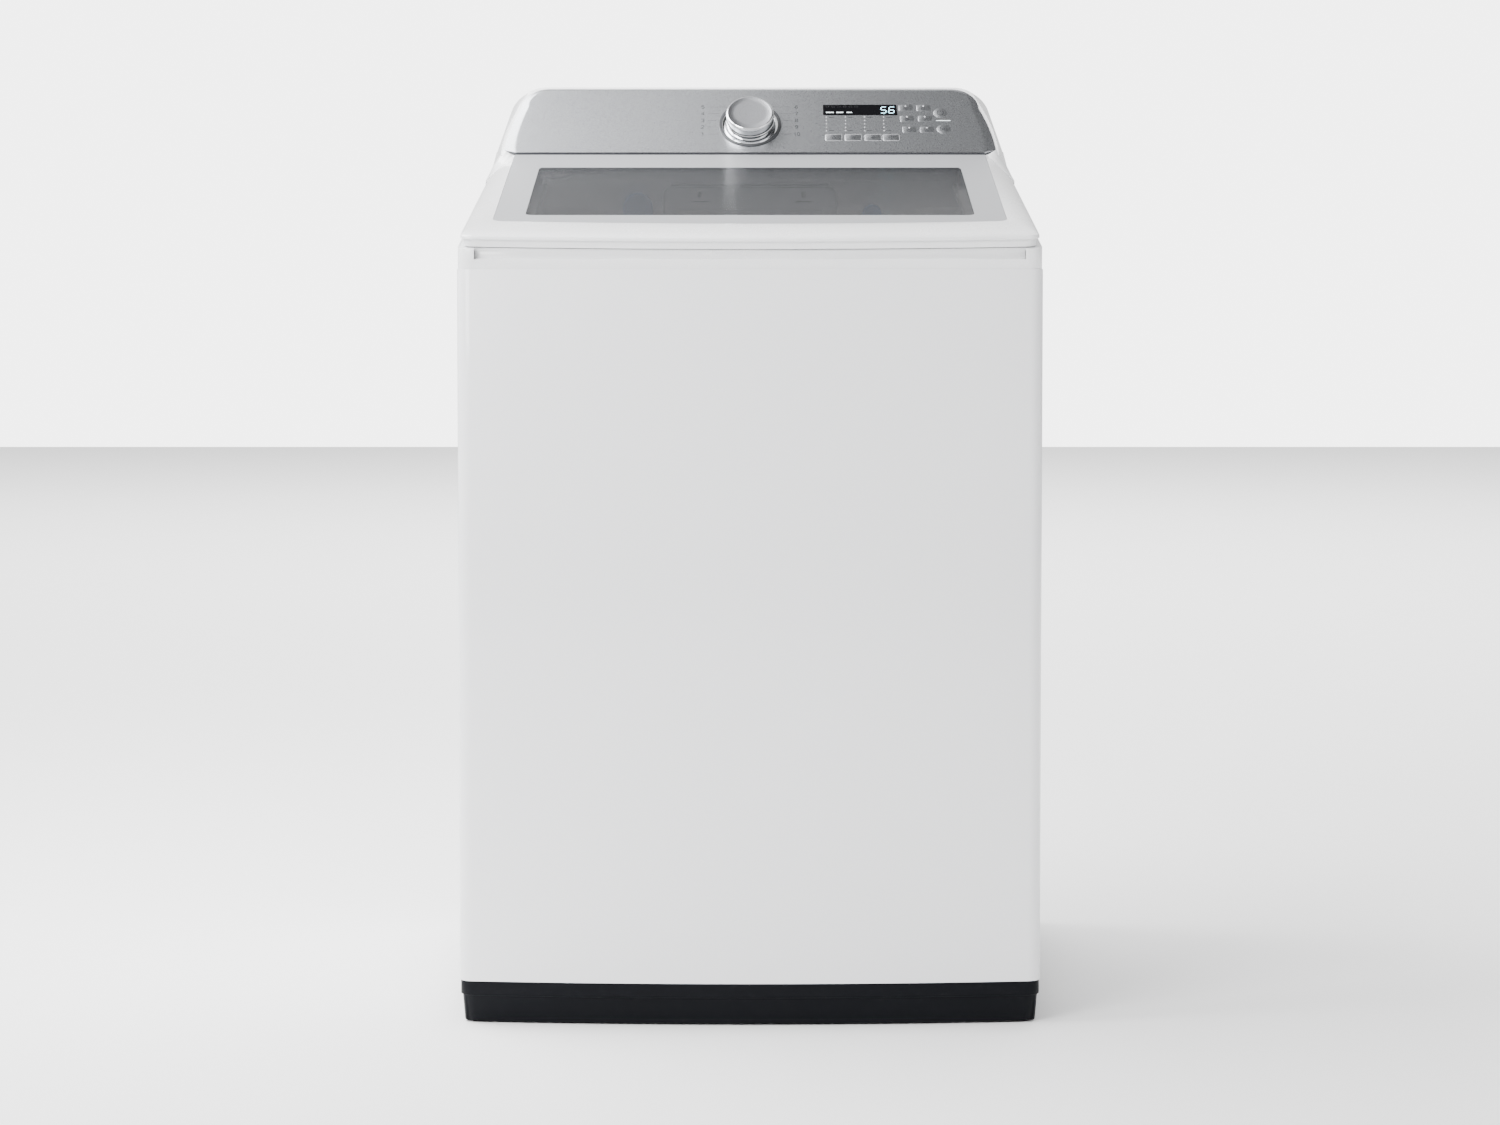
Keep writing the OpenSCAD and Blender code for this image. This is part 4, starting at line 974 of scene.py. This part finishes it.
def lampColumns():
    group, inputs, start, end = geometryGroup("lampGrid", [
        ("Columns", "NodeSocketInt", 4), ("Rows", "NodeSocketInt", 5), ("Column Pitch", "NodeSocketFloat", 0.0251),
        ("Row Pitch", "NodeSocketFloat", 0.0064), ("Lamp Radius", "NodeSocketFloat", 0.0008),
        ("Lamp Sides", "NodeSocketInt", 20), ("Lamp Depth", "NodeSocketFloat", 0.0003)])
    grid = addNode(group, "GeometryNodeMeshGrid")
    for axis, count, pitch in (("X", "Columns", "Column Pitch"), ("Y", "Rows", "Row Pitch")):
        gaps = mathNode(group, "SUBTRACT", start.outputs[count], 1.0)
        group.links.new(start.outputs[count], grid.inputs["Vertices " + axis])
        group.links.new(mathNode(group, "MULTIPLY", gaps, start.outputs[pitch]), grid.inputs["Size " + axis])
    lamp = addNode(group, "GeometryNodeMeshCylinder")
    for title, socket in (("Lamp Sides", "Vertices"), ("Lamp Depth", "Depth"), ("Lamp Radius", "Radius")):
        group.links.new(start.outputs[title], lamp.inputs[socket])
    copies = addNode(group, "GeometryNodeInstanceOnPoints")
    group.links.new(grid.outputs["Mesh"], copies.inputs["Points"])
    group.links.new(lamp.outputs["Mesh"], copies.inputs["Instance"])
    madeReal(group, start, end, copies)
    return group, inputs


def fromNodes(name, group, values, material, matrix=None, smoothAngle=35):
    holder = meshFrom(name, [(0, 0, 0), (0.001, 0, 0), (0, 0.001, 0)], [(0, 1, 2)], material)
    modifier = holder.modifiers.new("build", "NODES")
    modifier.node_group = group
    for identifier, value in values.items():
        modifier[identifier] = value
    holder.update_tag()
    made = settled(holder, material, smoothAngle)
    if matrix is not None:
        made.data.transform(matrix)
    return made


def panelMatrix(x, up, out=0.0):
    place = Matrix.Rotation(panelTilt, 4, "X")
    place.translation = onPanel(x, up, out)
    return place


lampGroup, lampInputs = lampColumns()
lampsAt = (137.8, 56.2, 0.1)
lamps = fromNodes("settingLamps", lampGroup, {lampInputs["Finish"]: inkLight}, inkLight, panelMatrix(*lampsAt))
ridesWith(lamps, "control_panel")
def panelPrint(name, lines, width, node="control_panel", out=0.01, ink=inkDark):
    return strokes(name, lines, width, out, node, ink)


printShape = {"capOut": 0.22, "frameInset": 0.7, "frameRadius": 2.0, "frameWidth": 0.32, "markWidth": 0.6,
              "settingSize": 1.15, "optionMarkUp": 4.4, "lampDown": 2.6, "lampRadius": 0.55, "lampWidth": 1.1,
              "levelColumns": (100.2, 125.3, 150.4, 175.5), "levelRows": ((68.6, 7.5), (43.8, 6.5)),
              "levelShift": 3.2, "levelWidth": 0.9, "powerWidth": 0.9, "startWidth": 0.95, "powerLampUp": 62.4,
              "powerLampEnds": (244.5, 263.0), "powerLampWidth": 1.0, "powerLampOut": 0.03}
dropArc = arc(0, -0.7, 1.7, -220, 40, 12)
settingMarks = [
    [dropArc + [(0, 2.6), dropArc[0]]],
    [[(-3.2 + 0.4 * i, 0.6 * math.sin(i * 0.98) + dy) for i in range(17)] for dy in (-1.1, 1.1)],
    [[(0.11 * i * math.cos(i * 0.62), 0.11 * i * math.sin(i * 0.62)) for i in range(24)]],
    [arc(x, y, 0.5, 0, 360, 8) for x, y in ((-2.2, 0.8), (0, -1), (2.2, 0.8), (0, 1.9))],
]
optionMarks = [
    [arc(0, 0, 2.2, 60, 400, 14), [(0, 0), (0, 1.7)], [(0, 0), (1.2, 0)]],
    [[(-2.4, -1.6), (2.4, -1.6), (1.7, 1.6), (-1.7, 1.6), (-2.4, -1.6)]],
    [arc(0, 0, 2.0, 0, 360, 14), arc(0, 0, 0.9, 0, 360, 8)],
    [[(-2.4, 0), (-0.6, -1.8), (2.4, 1.8)]],
    [[(-2, -1.8), (-2, 1.8), (0.6, 1.8)], [(2, 1.8), (2, -1.8), (-0.6, -1.8)]],
    [[(0, 2.2), (-2, -1.8), (2, -1.8), (0, 2.2)]],
]
powerMark = [arc(0, 0, 4.2, 125, 415, 22), [(0, 1.2), (0, 5.2)]]
startMark = [[(-4.4, -3), (-4.4, 3), (-0.2, 0), (-4.4, -3)], [(1.6, -3), (1.6, 3)], [(4.2, -3), (4.2, 3)]]


def makeButtonMarks():
    s = printShape
    panelPrint("levelMarks", [[(x + s["levelShift"], up), (x + s["levelShift"] + length, up)]
                              for x in s["levelColumns"] for up, length in s["levelRows"]], s["levelWidth"])
    inset = s["frameInset"]
    for name, node in zip(("settingFrames", "settingFrame2", "settingFrame3", "settingFrame4"), buttonNodes):
        x0, x1, up0, up1 = panelPlace(node)
        outline = roundedBox(x0 + inset, x1 - inset, up0 + inset, up1 - inset, s["frameRadius"])
        panelPrint(name, [outline + [outline[0]]], s["frameWidth"], node, s["capOut"], inkLight)
    for i, mark in enumerate(settingMarks, 1):
        node = "setting_button_%d" % i
        x0, x1, up0, up1 = panelPlace(node)
        panelPrint("settingMark%d" % i, moved(mark, (x0 + x1) / 2, (up0 + up1) / 2, s["settingSize"]),
                   s["markWidth"], node, s["capOut"])
    for i, mark in enumerate(optionMarks, 1):
        node = "option_button_%d" % i
        x0, x1, up0, up1 = panelPlace(node)
        middle = (x0 + x1) / 2
        panelPrint("optionMark%d" % i, moved(mark, middle, up0 + s["optionMarkUp"]), s["markWidth"], node,
                   s["capOut"])
        panelPrint("optionLamp%d" % i, [arc(middle, up1 - s["lampDown"], s["lampRadius"], 0, 360, 12)],
                   s["lampWidth"], node, s["capOut"], inkLight)
    for name, node, mark, width in (("powerMark", "power_button", powerMark, s["powerWidth"]),
                                    ("startMark", "start_button", startMark, s["startWidth"])):
        x0, x1, up0, up1 = panelPlace(node)
        panelPrint(name, moved(mark, (x0 + x1) / 2, (up0 + up1) / 2), width, node, s["capOut"])
    panelPrint("powerLamp", [[(x, s["powerLampUp"]) for x in s["powerLampEnds"]]], s["powerLampWidth"],
               out=s["powerLampOut"], ink=glowWhite)


dialShape = {"rows": (87.9, 75.5, 62.7, 50.5, 37.2), "leaderNear": 44.5, "leaderFar": 55.0, "digitsAt": 61.5,
             "digitPitch": 4.8, "digitSpan": 4.6, "digitDown": 2.7, "digitSize": 0.9, "leaderWidth": 0.4,
             "digitWidth": 0.85}


def makeDialMarks():  # numbers 1 to 10 clockwise from the lower left, each with a leader line
    s = dialShape
    lines, digits = [], []
    for side in (-1, 1):
        for i, up in enumerate(s["rows"]):
            near = math.sqrt(s["leaderNear"] ** 2 - (up - knobUp) ** 2)
            lines.append([(side * near, up), (side * s["leaderFar"], up)])
            number = str(5 - i if side < 0 else 6 + i)
            start = side * s["digitsAt"] - s["digitSpan"] * len(number) / 2
            for k, digit in enumerate(number):
                digits += moved(digitStrokes[digit], start + s["digitPitch"] * k, up - s["digitDown"],
                                s["digitSize"])
    panelPrint("dialLeaders", lines, s["leaderWidth"])
    panelPrint("dialDigits", digits, s["digitWidth"])


makeButtonMarks()
makeDialMarks()
print("display and print ready")


# dispenser drawer and water jets

wallDepth = 552.0


def onWall(x, z, out=0.0):  # millimetres across, height, and out of the trough's back wall
    return at(x, wallDepth - out, z)


drawerShape = {"half": 114.0, "low": 944.0, "high": 996.0, "radius": 12.0, "edge": 0.9, "rimInset": 2.0,
               "rimWidth": 0.7, "rimOut": 5.2, "markOut": 5.45, "markUp": 984.5, "markSize": 0.95,
               "markWidth": 0.9, "lineUp": 975.5, "lineHalf": 11.0, "lineWidth": 1.3}
drawerMarks = [(-66, [arc(0, 0, 2.6, 0, 360, 14), [(0, -4.4), (0, 4.4)], [(-3.4, -2.6), (3.4, 2.6)]]),
               (70, [[(-3, 3), (3, 3), (2, -3), (-2, -3), (-3, 3)], [(-1.4, 0.2), (1.4, 0.2)]])]


def wallPrint(name, lines, width, out, node="dispenser_drawer", thick=0.1):
    return strokes(name, lines, width, out, node, inkDark, onWall, thick)


def makeDrawer():
    s = drawerShape
    softened("dispenser_drawer", s["edge"] * mm, 3, 32, drawerPlastic, "drawerTray")
    side, low = s["half"] - s["rimInset"], s["low"] + s["rimInset"]
    flat, bend, radius = s["half"] - s["radius"] - 1, s["high"] - s["radius"] - 1, s["radius"] - 1
    rim = [(-side, low), (side, low), (side, bend)] + arc(flat, bend, radius, 0, 90, 8)
    rim += [(-x, z) for x, z in reversed(rim[2:])]
    # painted shade: a dark line just inside the edge of the drawer face stands in for the shade along its rim
    wallPrint("drawerRimShade", [rim + [rim[0]]], s["rimWidth"], s["rimOut"], thick=0.2)
    for i, (x, mark) in enumerate(drawerMarks, 1):
        wallPrint("drawerMark%d" % i, moved(mark, x, s["markUp"], s["markSize"]), s["markWidth"], s["markOut"])
        line = [(x - s["lineHalf"], s["lineUp"]), (x + s["lineHalf"], s["lineUp"])]
        wallPrint("drawerLine%d" % i, [line], s["lineWidth"], s["markOut"])


jetShape = {"layers": ((0.0, 0.4), (0.0, 8.0), (0.5, 10.0), (2.0, 11.6), (4.5, 12.1)), "gap": 0.1, "foot": 0.5,
            "crownSteps": 28, "neckRadius": 10.9, "neckEnds": (0.4, -9.5), "neckSteps": 40, "slitUp": 952.0,
            "slitHalf": 11.0, "slitWidth": 2.4, "slitOut": 12.05}


def makeJet():
    s = jetShape
    low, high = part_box("water_jet_nozzle")
    middle, floor = (low.x + high.x) / 2 / mm, low.z / mm
    radius = (high.x - low.x) / 2 / mm - s["gap"]
    crown = high.z / mm - radius
    outline = [(-radius, floor + s["foot"]), (-radius, crown)]
    outline += reversed(arc(0, crown, radius, 0, 180, s["crownSteps"])[1:-1])
    outline += [(radius, crown), (radius, floor + s["foot"])]
    rings = []
    for inset, out in s["layers"]:
        size = 1 - inset / radius
        rings.append([onWall(middle + x * size, max(z, floor) if z < crown else crown + (z - crown) * size, out)
                      for x, z in outline])
    points, faces = cappedRings(rings)
    standsFor(meshFrom("jetCowl", points, faces, blueClear, 30), "water_jet_nozzle")
    steps = s["neckSteps"]
    neck = [[onWall(middle + s["neckRadius"] * math.cos(2 * math.pi * i / steps),
                    crown + s["neckRadius"] * math.sin(2 * math.pi * i / steps), out) for i in range(steps)]
            for out in s["neckEnds"]]
    points, faces = cappedRings(neck)
    ridesWith(meshFrom("jetNeck", points, faces, blueClear, 30), "water_jet_nozzle")
    # painted shade: a dark stroke across the cowl stands in for the shade inside the jet's slit opening
    slit = [(middle - s["slitHalf"], s["slitUp"]), (middle + s["slitHalf"], s["slitUp"])]
    wallPrint("jetSlitShade", [slit], s["slitWidth"], s["slitOut"], "water_jet_nozzle", 0.2)


jetButtonShape = {"profile": [(0, -11.9), (6.8, -11.9), (7.4, -11.3), (7.4, 3.6), (11.4, 3.6), (12.4, 4.3),
                              (12.4, 7.4), (11.9, 8.7), (10.6, 9.4), (4.0, 9.0), (0, 8.9)], "steps": 64}


def makeJetButton():
    low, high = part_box("water_jet_button")
    middleX, middleZ = (low.x + high.x) / 2 / mm, (low.z + high.z) / 2 / mm
    rings = []
    for i in range(jetButtonShape["steps"]):
        turn = 2 * math.pi * i / jetButtonShape["steps"]
        rings.append([onWall(middleX + r * math.cos(turn), middleZ + r * math.sin(turn), out)
                      for r, out in jetButtonShape["profile"]])
    points, faces = stackRings(rings, around=False, backToStart=True)
    standsFor(meshFrom("jetButton", points, faces, blueClear, 30), "water_jet_button")


makeDrawer()
makeJet()
makeJetButton()
print("dispenser and jets ready")


# basket, pulsator, springs and windings

def ringCopies():
    group, inputs, start, end = geometryGroup("ringCopies", [
        ("Copies", "NodeSocketInt", 24), ("Turn", "NodeSocketFloat", 2 * math.pi / 24),
        ("Centre", "NodeSocketVector", (0, 0, 0)), ("Weld", "NodeSocketFloat", 0.00001)])
    line = addNode(group, "GeometryNodeMeshLine")
    line.inputs["Offset"].default_value = (0, 0, 0)
    group.links.new(start.outputs["Copies"], line.inputs["Count"])
    group.links.new(start.outputs["Centre"], line.inputs["Start Location"])
    index = addNode(group, "GeometryNodeInputIndex")
    turn = addNode(group, "ShaderNodeCombineXYZ")
    group.links.new(mathNode(group, "MULTIPLY", index.outputs[0], start.outputs["Turn"]), turn.inputs["Z"])
    copies = addNode(group, "GeometryNodeInstanceOnPoints")
    group.links.new(line.outputs["Mesh"], copies.inputs["Points"])
    group.links.new(start.outputs["Geometry"], copies.inputs["Instance"])
    group.links.new(turn.outputs[0], copies.inputs["Rotation"])
    madeReal(group, start, end, copies, start.outputs["Weld"])
    return group, inputs


ringGroup, ringInputs = ringCopies()
tubAxis = (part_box("basket")[0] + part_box("basket")[1]) / 2
tubAxis.z = 0


def roundTheTub(name, points, faces, copies, material, smoothAngle=35):
    piece = meshFrom(name + "Part", points, faces, material)
    modifier = piece.modifiers.new("build", "NODES")
    modifier.node_group = ringGroup
    for title, value in (("Copies", copies), ("Turn", 2 * math.pi / copies), ("Centre", tuple(tubAxis)),
                         ("Finish", material)):
        modifier[ringInputs[title]] = value
    piece.update_tag()
    made = settled(piece, material, smoothAngle)
    made.name = name
    return made


basketShape = {"columns": 72, "rows": 22, "firstRow": 300.0, "rowPitch": 22.0, "holeRadius": 2.2,
               "wall": 1.5, "corners": 8, "shaftHole": 18.0,
               "outside": ((14, 0), (4, 4.4), (0, 15)), "inside": ((1.5, 16), (5, 5.8), (15, 1.5))}


def makeBasket():
    s = basketShape
    low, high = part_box("basket")
    radius = (high.x - low.x) / 2 / mm
    bottom, top = low.z / mm, high.z / mm
    wall, pitch, hole = s["wall"], s["rowPitch"], s["holeRadius"]
    half = math.pi / s["columns"]
    points, faces = [], []

    def sheet(*corners):
        faces.append(tuple(range(len(points), len(points) + 4)))
        points.extend((r * mm * math.cos(turn), r * mm * math.sin(turn), z * mm) for r, turn, z in corners)

    def band(profile):  # plain sheet between the two edges of one column
        for (r0, z0), (r1, z1) in zip(profile, profile[1:]):
            for a0, a1 in ((-half, 0), (0, half)):
                sheet((r0, a0, z0), (r0, a1, z0), (r1, a1, z1), (r1, a0, z1))

    first = s["firstRow"]
    last = first + s["rows"] * pitch
    band([(s["shaftHole"], bottom)] + [(radius - inset, bottom + up) for inset, up in s["outside"]]
         + [(radius, first)])
    band([(radius, last), (radius, top), (radius - wall, top), (radius - wall, last)])
    band([(radius - wall, first)] + [(radius - inset, bottom + up) for inset, up in s["inside"]]
         + [(s["shaftHole"], bottom + wall), (s["shaftHole"], bottom)])
    frameOf = ((1, 0.5), (1, 1), (0, 1), (-1, 1), (-1, 0.5), (-1, 0), (0, 0), (1, 0))
    for row in range(s["rows"]):  # one hole in each row, staggered from row to row
        floor = first + row * pitch
        shift = half / 2 if row % 2 else -half / 2
        edge = [(half * side, floor + up * pitch) for side, up in frameOf]
        rim = [(shift + hole / radius * math.cos(turn), floor + pitch / 2 + hole * math.sin(turn))
               for turn in turnsOf(s["corners"])]
        for i in range(s["corners"]):
            j = (i + 1) % s["corners"]
            for r in (radius, radius - wall):
                sheet((r, *edge[i]), (r, *edge[j]), (r, *rim[j]), (r, *rim[i]))
            sheet((radius, *rim[i]), (radius, *rim[j]), (radius - wall, *rim[j]), (radius - wall, *rim[i]))
    standsFor(roundTheTub("basketSheet", points, faces, s["columns"], drumSteel, 50), "basket")


pulsatorShape = {"radius": 248.0, "vanes": 6, "twist": 0.75, "vaneHeight": 15.0, "turns": 240, "top": 42.8,
                 "vaneFrom": 52.0, "vaneGrows": 30.0, "vaneTo": 238.0, "vaneFades": 34.0, "sharpness": 5,
                 "rise": [(0, 43.0), (16, 42.6), (30, 40.5), (44, 37.0), (60, 30.0), (74, 22.5), (90, 16.5),
                          (110, 13.5), (235, 10.5), (248, 8.5)],
                 "skirt": ((3.0, 0.0), (246.5, 0.0), (248.0, 1.5), (248.0, 7.0))}


def pulsatorHeight(r, turn):
    s = pulsatorShape
    (r0, h0), (r1, h1) = next(pair for pair in zip(s["rise"], s["rise"][1:]) if r <= pair[1][0])
    base = h0 + (h1 - h0) * (r - r0) / (r1 - r0)
    grown = max(0.0, min(1.0, (r - s["vaneFrom"]) / s["vaneGrows"]))
    reach = grown * max(0.0, min(1.0, (s["vaneTo"] - r) / s["vaneFades"]))
    ridge = max(0.0, math.cos(s["vanes"] * (turn + s["twist"] * (r / s["radius"]) ** 1.5))) ** s["sharpness"]
    return min(s["top"], base + s["vaneHeight"] * ridge * reach * reach * (3 - 2 * reach))


def makePulsator():
    low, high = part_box("pulsator")

    def ringAt(r, height):
        return [tubAxis + Vector((r * mm * math.cos(t), r * mm * math.sin(t), low.z + height(r, t) * mm))
                for t in turnsOf(pulsatorShape["turns"])]

    rings = [ringAt(r, lambda r, t, z=z: z) for r, z in pulsatorShape["skirt"]]
    rings += [ringAt(247.0, lambda r, t: pulsatorHeight(r, t) - 1.0)]
    rings += [ringAt(r, pulsatorHeight) for r in [244.0] + [238.0 - 6.0 * i for i in range(38)] + [8.0, 3.0]]
    points, faces = cappedRings(rings)
    standsFor(meshFrom("pulsatorDisc", points, faces, pulsatorPlastic, 60), "pulsator")


springShape = {"wire": 2.2, "coils": 9.0, "radius": 14.5, "perTurn": 20, "sides": 8, "outside": 17.0,
               "room": 0.2, "closedEnd": 0.11}


def makeSprings():
    s = springShape
    low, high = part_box("suspension_springs")
    middle = (low + high) / 2
    reach = (high - low) / 2 - Vector((1, 1, 0)) * s["outside"] * mm
    sides, steps = s["sides"], int(s["coils"] * s["perTurn"])
    tall = (high.z - low.z) / mm - 2 * (s["wire"] + s["room"])
    points, faces = [], []
    for sideX in (-1, 1):
        for sideY in (-1, 1):
            foot = Vector((middle.x + sideX * reach.x, middle.y + sideY * reach.y, low.z))
            rings = []
            for i in range(steps + 1):  # the end coils lie closed, the others climb
                climb = max(0.0, min(1.0, (i / steps - s["closedEnd"]) / (1 - 2 * s["closedEnd"])))
                turn = 2 * math.pi * i / s["perTurn"]
                z = s["wire"] + s["room"] + climb * tall
                ring = []
                for lean in turnsOf(sides):
                    r = s["radius"] + s["wire"] * math.cos(lean)
                    ring.append(foot + Vector((r * math.cos(turn), r * math.sin(turn),
                                               z + s["wire"] * math.sin(lean))) * mm)
                rings.append(ring)
            base = len(points)
            more, walls = cappedRings(rings)
            points += more
            faces += [tuple(base + k for k in wall) for wall in walls]
    coils = meshFrom("springCoils", points, faces, springSteel, 60)
    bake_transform(coils)
    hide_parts("suspension_springs")


statorShape = {"teeth": 24, "coreRadii": (44.4, 62.0), "coreEdge": 5.0, "coil": (66.0, 95.0), "coilTurns": 9,
               "coilFill": 0.92, "coilHalf": (4.6, 8.2), "coilEdge": 0.3, "coilStep": 0.4,
               "tooth": ((61.5, 101.0), (3.0, 3.0), 5.2), "shoe": ((100.5, 105.8), (9.5, 10.5), 4.8)}
blockFaces = [(0, 3, 2, 1), (4, 5, 6, 7), (0, 1, 5, 4), (1, 2, 6, 5), (2, 3, 7, 6), (3, 0, 4, 7)]


def radialBlock(points, faces, radii, halves, low, high):  # a block along a radius, added to the mesh
    faces += [tuple(i + len(points) for i in face) for face in blockFaces]
    (r0, r1), (half0, half1) = radii, halves
    points += [(r * mm, side * half * mm, z * mm) for z in (low, high)
               for r, side, half in ((r0, -1, half0), (r1, -1, half1), (r1, 1, half1), (r0, 1, half0))]


def makeStator():
    s = statorShape
    low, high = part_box("stator")
    bottom, top = low.z / mm, high.z / mm
    half = math.pi / s["teeth"]
    points = [(r * mm * math.cos(turn), r * mm * math.sin(turn), z * mm) for r in s["coreRadii"]
              for z in (bottom + s["coreEdge"], top - s["coreEdge"]) for turn in (-half, half)]
    faces = [(0, 1, 3, 2), (4, 5, 7, 6), (0, 1, 5, 4), (2, 3, 7, 6)]
    for radii, halves, edge in (s["tooth"], s["shoe"]):
        radialBlock(points, faces, radii, halves, bottom + edge, top - edge)
    ridesWith(roundTheTub("statorCore", points, faces, s["teeth"], shaftSteel), "stator")
    points, faces = [], []
    (near, far), (thin, thick) = s["coil"], s["coilHalf"]
    pitch = (far - near) / s["coilTurns"]
    for i in range(s["coilTurns"]):  # turns of wire laid side by side along the tooth
        start = near + pitch * i
        half = thin + (thick - thin) * i / s["coilTurns"]
        edge = s["coilEdge"] + s["coilStep"] * (i % 2)
        radialBlock(points, faces, (start, start + pitch * s["coilFill"]), (half, half), bottom + edge, top - edge)
    standsFor(roundTheTub("statorWindings", points, faces, s["teeth"], copperWire), "stator")


makeBasket()
makePulsator()
makeSprings()
makeStator()
print("basket, pulsator, springs and windings ready")


# screws

screwShape = {"across": 322, "firstRow": 90, "rowPitch": 155, "rows": 6, "arm": 2.6, "groove": 1.1,
              "proud": 0.01, "thick": 0.04}


def makeScrewMarks():
    s = screwShape
    low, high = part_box("screws")
    lines = []
    for x in (-s["across"], s["across"]):
        for row in range(s["rows"]):
            z = s["firstRow"] + s["rowPitch"] * row
            lines += [[(x - s["arm"], z), (x + s["arm"], z)], [(x, z - s["arm"]), (x, z + s["arm"])]]
    # painted shade: dark crosses on the screw heads stand in for the shade in their cross recesses
    strokes("screwCrossShade", lines, s["groove"], 0.0, "screws", inkDark,
            lambda x, z, out: Vector((x * mm, high.y + (s["proud"] + out) * mm, z * mm)), s["thick"])


makeScrewMarks()
print("screws ready")


# floor, light and camera

studio = {
    "cameraDistance": 4.4, "cameraHeight": 0.89, "lens": 90.8, "shift": -0.05, "tiltDown": 3.33, "sensor": 36,
    "clipEnd": 60, "floorHalf": 14.0, "worldStrength": 1.15, "backdrop": 5.0, "panelUp": 50,
    "aim": Vector((0, 0, 0.6)),
    "keyPlace": Vector((-3.2, -4.2, 3.4)), "keySize": (2.6, 2.6), "keyPower": 330.0,
    "fillPlace": Vector((3.6, -3.2, 1.8)), "fillSize": (2.2, 2.6), "fillPower": 18.0,
    "overhead": 1.5, "topAcross": -1.4, "topSize": (2.3, 1.8), "topPower": 190.0,
    "cardAcross": 1.28, "cardHalf": 1.25,
    "backPlace": Vector((0, 6.5, 6.0)), "backAim": Vector((0, 6.5, 0)), "backSize": (9.0, 7.0),
    "backPower": 1500.0,
}


def softBox(name, place, target, size, power):
    lamp = bpy.data.lights.new(name, "AREA")
    lamp.shape = "RECTANGLE"
    lamp.size, lamp.size_y = size
    lamp.energy = power
    obj = link(bpy.data.objects.new(name, lamp))
    obj.location = place
    obj.rotation_euler = (target - place).to_track_quat("-Z", "Y").to_euler()
    return obj


def stagePlane(name, place, turn, half, material):
    corners = [place + turn @ Vector((x * half, y * half, 0)) for x, y in ((-1, -1), (1, -1), (1, 1), (-1, 1))]
    meshFrom(name, corners, [(0, 1, 2, 3)], material)


def makeCamera():
    lens = bpy.data.cameras.new("frontCamera")
    lens.lens = studio["lens"]
    lens.sensor_width = studio["sensor"]
    lens.shift_y = studio["shift"]
    lens.clip_end = studio["clipEnd"]
    camera = link(bpy.data.objects.new("frontCamera", lens))
    camera.location = (0, cadBox[0].y - studio["cameraDistance"], studio["cameraHeight"])
    camera.rotation_euler = (math.radians(90 - studio["tiltDown"]), 0, 0)
    bpy.context.scene.camera = camera
    return Vector(camera.location)


def makeLights(eye):
    s = studio
    stagePlane("studioFloor", Vector((0, 0, 0)), Matrix.Identity(3), s["floorHalf"],
               plainFinish("floorFinish", (0.93, 0.93, 0.93), 0.7, tone=0.01, clouds=1.0, grain=60.0))
    softBox("keyLight", s["keyPlace"], s["aim"], s["keySize"], s["keyPower"])
    softBox("fillLight", s["fillPlace"], s["aim"], s["fillSize"], s["fillPower"])
    panelMiddle = onPanel(0, s["panelUp"])
    sight = (panelMiddle - eye).normalized()
    mirrorWay = sight - 2 * sight.dot(panelNormal) * panelNormal
    overhead = panelMiddle + mirrorWay * s["overhead"]  # where the camera sees the sloping panel reflect
    softBox("topLight", overhead + Vector((s["topAcross"], 0, 0)), panelMiddle, s["topSize"], s["topPower"])
    back = softBox("backLight", s["backPlace"], s["backAim"], s["backSize"], s["backPower"])
    back.visible_glossy = False
    stagePlane("darkCard", overhead + Vector((s["cardAcross"], 0, 0)),
               mirrorWay.to_track_quat("Z", "X").to_matrix(), s["cardHalf"],
               plainFinish("cardFinish", (0.01, 0.01, 0.01), 0.8, tone=0.1))


def makeWorld():
    world = bpy.data.worlds.new("paleStudio")
    world.use_nodes = True
    tree = world.node_tree
    background = tree.nodes["Background"]
    background.inputs["Color"].default_value = (1, 1, 1, 1)
    rays = addNode(tree, "ShaderNodeLightPath")
    glow = mathNode(tree, "MULTIPLY_ADD", rays.outputs["Is Camera Ray"],
                    studio["backdrop"] - studio["worldStrength"])
    glow.node.inputs[2].default_value = studio["worldStrength"]
    tree.links.new(glow, background.inputs["Strength"])
    bpy.context.scene.world = world


makeLights(makeCamera())
makeWorld()
print("floor, light and camera ready")
